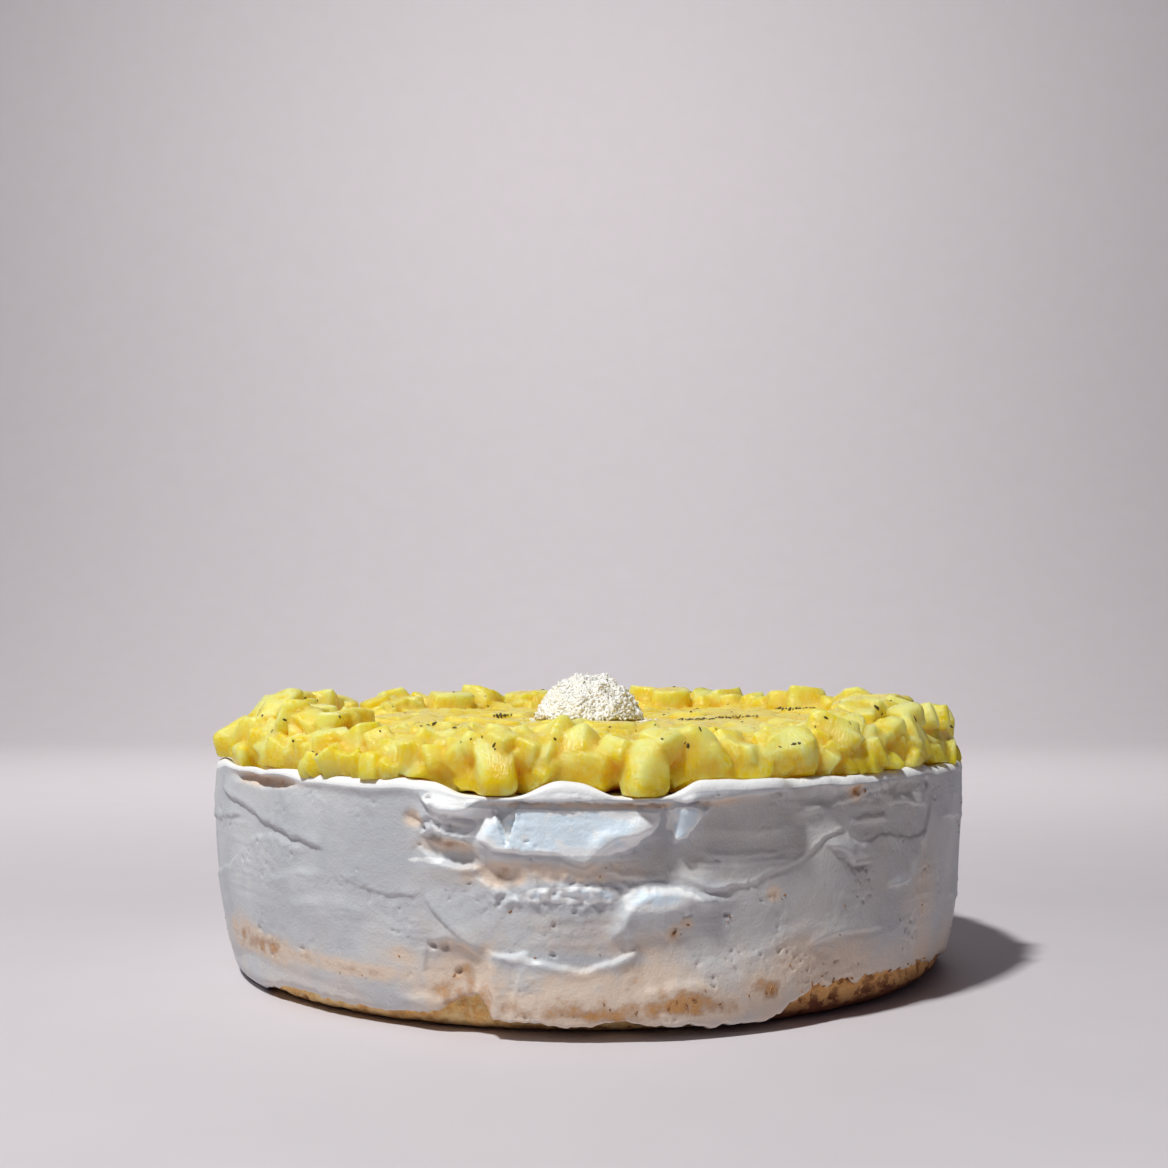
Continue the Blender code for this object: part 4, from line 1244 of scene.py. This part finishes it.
def heap_slope(reach):
    """Steepness of the heap at a share of its radius."""
    return HEAP_HEIGHT * HEAP_ROUNDNESS * reach ** (HEAP_ROUNDNESS - 1) / HEAP_RADIUS


def heap_skin():
    """The heap's skin, all in small rounded crumbs."""
    azimuth = np.arange(360)
    shares = np.linspace(0.97, 0.02, HEAP_RINGS)
    rings = np.array([on_circle(azimuth, HEAP_RADIUS * share, 0) for share in shares])
    rings[..., 2] = [[heap_top(x, y) for x, y, _ in ring] for ring in rings]
    facing = outward(rings) * heap_slope(shares)[:, None, None] + (0, 0, 1)
    facing /= np.linalg.norm(facing, axis=-1, keepdims=True)
    crumbs = np.abs(wobble(rings, 1.7, 211)) * 1.5 + np.abs(wobble(rings, 0.8, 213)) * 0.8
    rings = rings + facing * (crumbs - 0.3)[..., None]
    under = on_circle(azimuth, HEAP_RADIUS * 0.6, DICE_TOP - 2.4)
    return lathe(np.concatenate([under[None], rings]))


def make_coconut():
    """The grated coconut: a heap of crumbs and fine shreds."""
    draw = random.Random(SEED + 2)
    points, faces = heap_skin()
    parts = [(points, faces, points, 0.3)]
    quads = ring_quads(SHRED_STEPS, 4)
    ends = np.array(((3, 2, 1, 0), np.arange(4) + 4 * (SHRED_STEPS - 1)))
    for index in range(SHREDS):
        stray = index >= SHREDS - STRAYS
        reach = draw.uniform(0.95, 1.28) if stray else 0.99 * math.sqrt((index + 0.5) / (SHREDS - STRAYS))
        angle = index * GOLDEN_ANGLE
        x, y = HEAP_RADIUS * reach * math.cos(angle), HEAP_RADIUS * reach * math.sin(angle)
        height = DICE_TOP - 1 if stray else heap_top(x, y) + draw.uniform(-0.15, 0.25)
        slope = 0 if stray else heap_slope(reach)
        facing = Vector((math.cos(angle) * slope, math.sin(angle) * slope, 1))
        points = shred(draw, x, y, height, facing)
        parts.append((points, [quads, ends], points, draw.random()))
    heap = joined("grated_coconut_heap", parts)
    return finish_piece(heap, coconut_material(), ["grated_coconut"])


# Specks and crumbs


def grit(name, spots, material):
    """Small irregular grains, each at (point, normal, size), pressed half into what they lie on."""
    draw = random.Random(SEED + 6)
    mesh = bmesh.new()
    bmesh.ops.create_icosphere(mesh, subdivisions=2, radius=0.5)
    ball = np.array([v.co for v in mesh.verts])
    triangles = np.array([[v.index for v in f.verts] for f in mesh.faces])
    mesh.free()
    parts = []
    for point, normal, size in spots:
        shape = (size * draw.uniform(0.7, 1.2), size * draw.uniform(0.35, 0.65), size * 0.4)
        grain = ball * (1 + 0.7 * wobble(ball + draw.uniform(0, 90), 0.55, 0)[:, None]) * shape
        spun = np.array(Euler((0, 0, draw.uniform(0, 6.28))).to_matrix())
        laid = np.array(Vector(normal).to_track_quat("Z", "Y").to_matrix())
        parts.append((grain @ (laid @ spun).T + point, [triangles], ball, draw.random()))
    return finish_piece(joined(name, parts), material)


def cast(surface, start, along):
    """Where a ray meets a surface, and the way the surface faces there."""
    point, normal, _, _ = surface.ray_cast(Vector(start), Vector(along))
    if point is None:
        return None
    if normal.dot(Vector(along)) > 0:
        normal = -normal
    return point, normal


def marks_on(surface, marks):
    """Where marks, each a pixel and a size, meet a surface, as (point, normal, size)."""
    found = [(cast(surface, *pixel_ray(x, y)), size) for x, y, size in marks]
    return [(*hit, size) for hit, size in found if hit]


def make_specks(fruit):
    """Dark specks on the pineapple: where they show in front, and scattered over the rest."""
    draw = random.Random(SEED + 7)
    surface = surface_of(fruit)
    spots = marks_on(surface, FRONT_SPECKS)
    for start, end in SPECK_ROWS:
        for x in np.arange(start[0], end[0], SPECK_STEP_PX):
            y = np.interp(x, (start[0], end[0]), (start[1], end[1])) + draw.uniform(-0.5, 0.5)
            hit = cast(surface, *pixel_ray(x, y))
            if hit:
                spots.append((*hit, draw.uniform(1, 1.9)))
    for _ in range(MORE_SPECKS):
        place = on_circle(draw.uniform(62, 298), 112 * math.sqrt(draw.random()), 100)
        hit = cast(surface, place, (0, 0, -1))
        if hit and math.hypot(*place[:2]) > HEAP_RADIUS + 4:
            spots.append((*hit, draw.uniform(0.6, 1.6)))
    grit("dark_specks", spots, speck_material())


def make_crumbs(cream):
    """Crumbs of the crust, caught in the cream: where they show in front, and scattered over the rest."""
    draw = random.Random(SEED + 8)
    surface = surface_of(cream)
    spots = marks_on(surface, FRONT_CRUMBS)
    for _ in range(MORE_CRUMBS):
        azimuth = draw.uniform(72, 288)
        place = on_circle(azimuth, 150, 3 + 55 * draw.random() ** 2)
        hit = cast(surface, place, on_circle(azimuth, -1, 0))
        if hit:
            spots.append((*hit, draw.uniform(0.6, 1.5)))
    grit("crust_crumbs", spots, crumb_material())


# Materials


class Nodes:
    """A short way to write a material's nodes."""

    def __init__(self, name):
        self.material = bpy.data.materials.new(name)
        self.material.use_nodes = True
        self.tree = self.material.node_tree
        self.shader = self.tree.nodes["Principled BSDF"]

    def add(self, kind, settings=None, **inputs):
        node = self.tree.nodes.new("ShaderNode" + kind)
        for key, value in (settings or {}).items():
            setattr(node, key, value)
        for key, value in inputs.items():
            self.put(node, key.replace("_", " "), value)
        return node

    def put(self, node, key, value):
        socket = node.inputs[int(key)] if key.isdigit() else node.inputs[key]
        if isinstance(value, bpy.types.NodeSocket):
            self.tree.links.new(value, socket)
        else:
            socket.default_value = value

    def shade(self, **inputs):
        for key, value in inputs.items():
            self.put(self.shader, key.replace("_", " "), value)

    def math(self, operation, a, b=0.0, clamp=False):
        node = self.add("Math", {"operation": operation, "use_clamp": clamp})
        self.put(node, "0", a)
        self.put(node, "1", b)
        return node.outputs[0]

    def mix(self, factor, a, b):
        node = self.add("Mix", {"data_type": "RGBA"})
        self.put(node, "0", factor)
        self.put(node, "6", a)
        self.put(node, "7", b)
        return node.outputs[2]

    def ramp(self, factor, low, high, reach=(0.0, 1.0)):
        node = self.add("MapRange", {"interpolation_type": "SMOOTHSTEP"})
        for key, value in zip(("Value", "From Min", "From Max", "To Min", "To Max"),
                              (factor, low, high, *reach)):
            self.put(node, key, value)
        return node.outputs[0]

    def noise(self, vector, scale, detail=2.0, roughness=0.5):
        node = self.add("TexNoise", Vector=vector, Scale=scale, Detail=detail, Roughness=roughness)
        return node.outputs[0]

    def attribute(self, name):
        return self.add("Attribute", {"attribute_name": name})

    def place(self):
        return self.add("NewGeometry").outputs["Position"]

    def bump(self, height, strength, distance):
        node = self.add("Bump", Strength=strength, Distance=distance, Height=height)
        return node.outputs[0]


def rgb(red, green, blue):
    """A colour given as sRGB, 0 to 255, in linear light."""
    def linear(value):
        value = value / 255
        return value / 12.92 if value <= 0.04045 else ((value + 0.055) / 1.055) ** 2.4

    return (linear(red), linear(green), linear(blue), 1.0)


def cream_material():
    """Off-white cream, painted greyer on the side than on the lip and top, and whiter and bluish in the
    painted highlights where light falls. Where it is thin, the sponge's colour comes through in beige and
    brown; in recesses and hollows the beige and brown are partly painted shade.
    """
    m = Nodes("whipped_coconut_cream")
    where = m.place()
    stain_and_painted_light = m.attribute("stain_and_painted_light").outputs["Fac"]
    blotch = m.noise(where, 160, 3, 0.6)
    speckle = m.noise(where, 900, 2, 0.6)
    cloud = m.noise(where, 55, 3, 0.55)
    uneven = m.math("ADD", stain_and_painted_light, m.math("MULTIPLY", m.math("SUBTRACT", blotch, 0.5), 0.22))
    # Where the stain value is above 0.1, as on most of the side, the cream takes a greyer, mottled white;
    # where it is zero, as on the lip and top, a whiter one: painted shade on the side against painted light
    # on top. Below zero the white turns bluish: painted highlights.
    smeared_and_shaded_side = m.mix(m.ramp(cloud, 0.35, 0.65), rgb(213, 215, 216), rgb(198, 201, 205))
    painted_light_white = m.mix(m.ramp(stain_and_painted_light, -0.3, -0.02), rgb(226, 240, 250), rgb(248, 248, 246))
    white = m.mix(m.ramp(stain_and_painted_light, 0, 0.1), painted_light_white, smeared_and_shaded_side)
    beige = m.mix(m.ramp(uneven, 0.12, 0.8), white, rgb(229, 209, 190))
    beige = m.mix(m.ramp(uneven, 0.85, 1.4), beige, rgb(204, 180, 160))
    grain = m.math("MULTIPLY", m.math("SUBTRACT", speckle, 0.5), 1.5)
    brown = m.ramp(m.math("ADD", uneven, grain), 0.85, 2.1)
    crust = m.mix(blotch, rgb(180, 126, 80), rgb(216, 164, 104))
    m.shade(Base_Color=m.mix(brown, beige, crust))
    m.shade(Roughness=m.ramp(blotch, 0.3, 0.7, (0.42, 0.58)), Specular_IOR_Level=0.4)
    m.shade(Subsurface_Weight=0.2, Subsurface_Radius=(1, 0.92, 0.86), Subsurface_Scale=1.8 * MM)
    fine = m.math("ADD", m.noise(where, 1400, 3, 0.6), m.math("MULTIPLY", m.noise(where, 420), 0.8))
    m.shade(Normal=m.bump(fine, 0.32, 0.6 * MM))
    return m.material


def crust_material():
    """Baked crust: golden, with paler crumb in its pores, brown where it stood on the tin, more orange and
    patchier on the right, and darker low down on the right, where the shade under its rounded foot is
    painted on."""
    m = Nodes("genoise_crust")
    where = m.place()
    across, _, height = m.add("SeparateXYZ", Vector=where).outputs
    mottle = m.noise(where, 190, 4, 0.7)
    crumb = m.noise(where, 520, 4, 0.7)
    right = m.ramp(across, 15 * MM, 60 * MM)
    golden = m.mix(m.ramp(mottle, 0.35, 0.65), rgb(255, 220, 150), rgb(246, 184, 104))
    golden = m.mix(m.ramp(crumb, 0.42, 0.72), golden, rgb(250, 222, 168))
    golden = m.mix(m.math("MULTIPLY", right, 0.65), golden, rgb(240, 170, 100))
    # Painted shade: on the right the crust is painted darker low down, under its rounded foot.
    low = m.math("MULTIPLY", right, m.ramp(height, 2 * MM, 8.5 * MM, (0.75, 0)))
    baked_and_painted_shade = m.math("ADD", m.ramp(height, 0.5 * MM, 4.5 * MM, (0.5, 0)), low)
    patchy = m.ramp(across, -40 * MM, 50 * MM, (0.1, 0.6))
    patches = m.math("MULTIPLY", m.ramp(mottle, 0.48, 0.6), patchy)
    browned = m.math("ADD", baked_and_painted_shade, patches, True)
    m.shade(Base_Color=m.mix(browned, golden, rgb(112, 60, 34)), Roughness=0.85)
    m.shade(Subsurface_Weight=0.08, Subsurface_Radius=(1, 0.5, 0.25), Subsurface_Scale=1 * MM)
    m.shade(Normal=m.bump(crumb, 0.8, 0.8 * MM))
    return m.material


def pineapple_material():
    """Ripe flesh, wet and half clear: pale where the fibres are cut; painted paler towards the tops and on
    the pieces over the lip, and deeper gold low down and in the creases: painted light and shade.
    """
    m = Nodes("wet_pineapple")
    where = m.place()
    grain = m.attribute("grain").outputs["Vector"]
    tone = m.attribute("tone").outputs["Fac"]
    crease = m.attribute("crease").outputs["Fac"]
    height = m.add("SeparateXYZ", Vector=where).outputs[2]
    fibres = m.noise(grain, 1.2, 4, 0.65)
    patches = m.noise(where, 150, 2, 0.5)
    cells = m.noise(where, 520, 3, 0.6)
    paleness = m.math("ADD", m.math("MULTIPLY", tone, 0.35), m.math("MULTIPLY", patches, 1.6))
    # Painted light and shade: the flesh is painted paler towards the tops and deeper gold low down.
    paleness = m.math("ADD", paleness, m.ramp(height, 64 * MM, 78 * MM, (-0.3, 0.1)))
    flesh = m.mix(m.ramp(paleness, 0.72, 1.3), rgb(250, 212, 12), rgb(253, 240, 134))
    flesh = m.mix(m.ramp(fibres, 0.42, 0.72, (0, 0.45)), flesh, rgb(254, 246, 186))
    flesh = m.mix(m.ramp(cells, 0.46, 0.66, (0, 0.32)), flesh, rgb(254, 246, 176))
    # Painted shade: deeper gold low down and in the creases between pieces.
    low = m.math("MULTIPLY", m.ramp(height, 64 * MM, 75.5 * MM, (1, 0)), m.ramp(patches, 0.6, 0.42))
    deep = m.math("MAXIMUM", low, m.math("MULTIPLY", crease, 0.6))
    m.shade(Base_Color=m.mix(deep, flesh, rgb(242, 202, 6)))
    m.shade(Roughness=m.ramp(patches, 0.3, 0.7, (0.22, 0.42)), Specular_IOR_Level=0.45)
    m.shade(Subsurface_Weight=0.9, Subsurface_Radius=(1, 0.92, 0.3), Subsurface_Scale=10 * MM)
    torn_fibres = m.math("ADD", m.noise(where, 420, 4, 0.6), m.math("MULTIPLY", fibres, 0.6))
    m.shade(Normal=m.bump(torn_fibres, 0.5, 1.2 * MM))
    return m.material


def coconut_material():
    """Fresh coconut flesh: white, a little creamy inside the heap."""
    m = Nodes("grated_coconut")
    tone = m.attribute("tone").outputs["Fac"]
    mottle = m.noise(m.place(), 700, 2)
    white = m.mix(tone, rgb(255, 254, 250), rgb(252, 248, 238))
    m.shade(Base_Color=m.mix(m.ramp(mottle, 0.5, 0.8, (0, 0.3)), white, rgb(244, 238, 218)))
    m.shade(Roughness=0.6, Normal=m.bump(mottle, 0.3, 0.3 * MM))
    return m.material


def speck_material():
    """Dark brown specks, like ground vanilla."""
    m = Nodes("dark_specks")
    mottle = m.noise(m.place(), 900)
    m.shade(Base_Color=m.mix(mottle, rgb(62, 48, 14), rgb(104, 84, 30)), Roughness=0.5)
    return m.material


def crumb_material():
    """Toasted crumbs, from golden to dark brown."""
    m = Nodes("crust_crumbs")
    tone = m.attribute("tone").outputs["Fac"]
    mottle = m.noise(m.place(), 800)
    brown = m.mix(tone, rgb(150, 104, 62), rgb(206, 156, 104))
    m.shade(Base_Color=m.mix(m.ramp(mottle, 0.4, 0.7), brown, rgb(128, 84, 50)), Roughness=0.8)
    return m.material


# Lights, floor and camera


def add_light(name, place, target, size, power, colour):
    """A square light that faces a target."""
    light = bpy.data.lights.new(name, "AREA")
    light.size = size
    light.energy = power
    light.color = colour
    obj = bpy.data.objects.new(name, light)
    obj.location = place
    obj.rotation_euler = (Vector(target) - obj.location).to_track_quat("-Z", "Y").to_euler()
    bpy.context.scene.collection.objects.link(obj)


def make_floor():
    """A pale floor that curves up behind."""
    profile = [(FLOOR_FRONT, 0), (FLOOR_BACK, 0)]
    for step in range(1, FLOOR_STEPS + 1):
        angle = math.pi / 2 * step / FLOOR_STEPS
        profile.append((FLOOR_BACK + FLOOR_BEND * math.sin(angle), FLOOR_BEND * (1 - math.cos(angle))))
    profile.append((FLOOR_BACK + FLOOR_BEND, BACKDROP_TOP))
    points = [(x, y, z) for y, z in profile for x in (-FLOOR_HALF_WIDTH, FLOOR_HALF_WIDTH)]
    quads = [(2 * i, 2 * i + 1, 2 * i + 3, 2 * i + 2) for i in range(len(profile) - 1)]
    floor = mesh_object("studio_floor", np.array(points) / MM, [np.array(quads)])
    m = Nodes("studio_floor")
    grain = m.noise(m.place(), 30, 3)
    m.shade(Base_Color=m.mix(grain, rgb(212, 205, 207), rgb(217, 210, 212)), Roughness=0.6)
    floor.data.materials.append(m.material)


def set_surround():
    """A neutral backdrop where the camera sees it, and a dim cool light on everything else."""
    world = bpy.data.worlds.new("surround")
    world.use_nodes = True
    tree = world.node_tree
    background = tree.nodes["Background"]
    seen = tree.nodes.new("ShaderNodeLightPath").outputs["Is Camera Ray"]
    tint = tree.nodes.new("ShaderNodeMix")
    tint.data_type = "RGBA"
    tint.inputs[6].default_value = SHADE_TINT
    tint.inputs[7].default_value = SEEN_TINT
    strength = tree.nodes.new("ShaderNodeMapRange")
    strength.inputs["To Min"].default_value = SHADE_STRENGTH
    strength.inputs["To Max"].default_value = SEEN_STRENGTH
    tree.links.new(seen, strength.inputs["Value"])
    tree.links.new(seen, tint.inputs[0])
    tree.links.new(tint.outputs[2], background.inputs[0])
    tree.links.new(strength.outputs[0], background.inputs[1])
    bpy.context.scene.world = world


def set_stage():
    """The floor, a light high on the left, another on the backdrop, and the surround."""
    make_floor()
    add_light("key", KEY_PLACE, KEY_TARGET, KEY_SIZE, KEY_POWER, KEY_COLOUR)
    add_light("backdrop", BACKDROP_PLACE, BACKDROP_TARGET, BACKDROP_SIZE, BACKDROP_POWER, (1, 1, 1))
    set_surround()
    bpy.context.scene.view_settings.view_transform = "Standard"


def set_camera():
    """The photograph's view."""
    data = bpy.data.cameras.new("camera")
    data.sensor_width = SENSOR_WIDTH
    data.lens = data.sensor_width * FOCAL_PX / IMAGE_PX
    data.shift_x = (IMAGE_PX / 2 - AXIS_PX) / IMAGE_PX
    data.shift_y = (HORIZON_PX - IMAGE_PX / 2) / IMAGE_PX
    data.clip_start = NEAREST_SEEN
    camera = bpy.data.objects.new("camera", data)
    camera.location = (0, -CAMERA_DISTANCE * MM, CAMERA_HEIGHT * MM)
    camera.rotation_euler = (math.pi / 2, 0, 0)
    bpy.context.scene.collection.objects.link(camera)
    bpy.context.scene.camera = camera


set_camera()
set_stage()
make_sponge()
make_crumbs(make_cream())
make_specks(make_pineapple())
make_coconut()
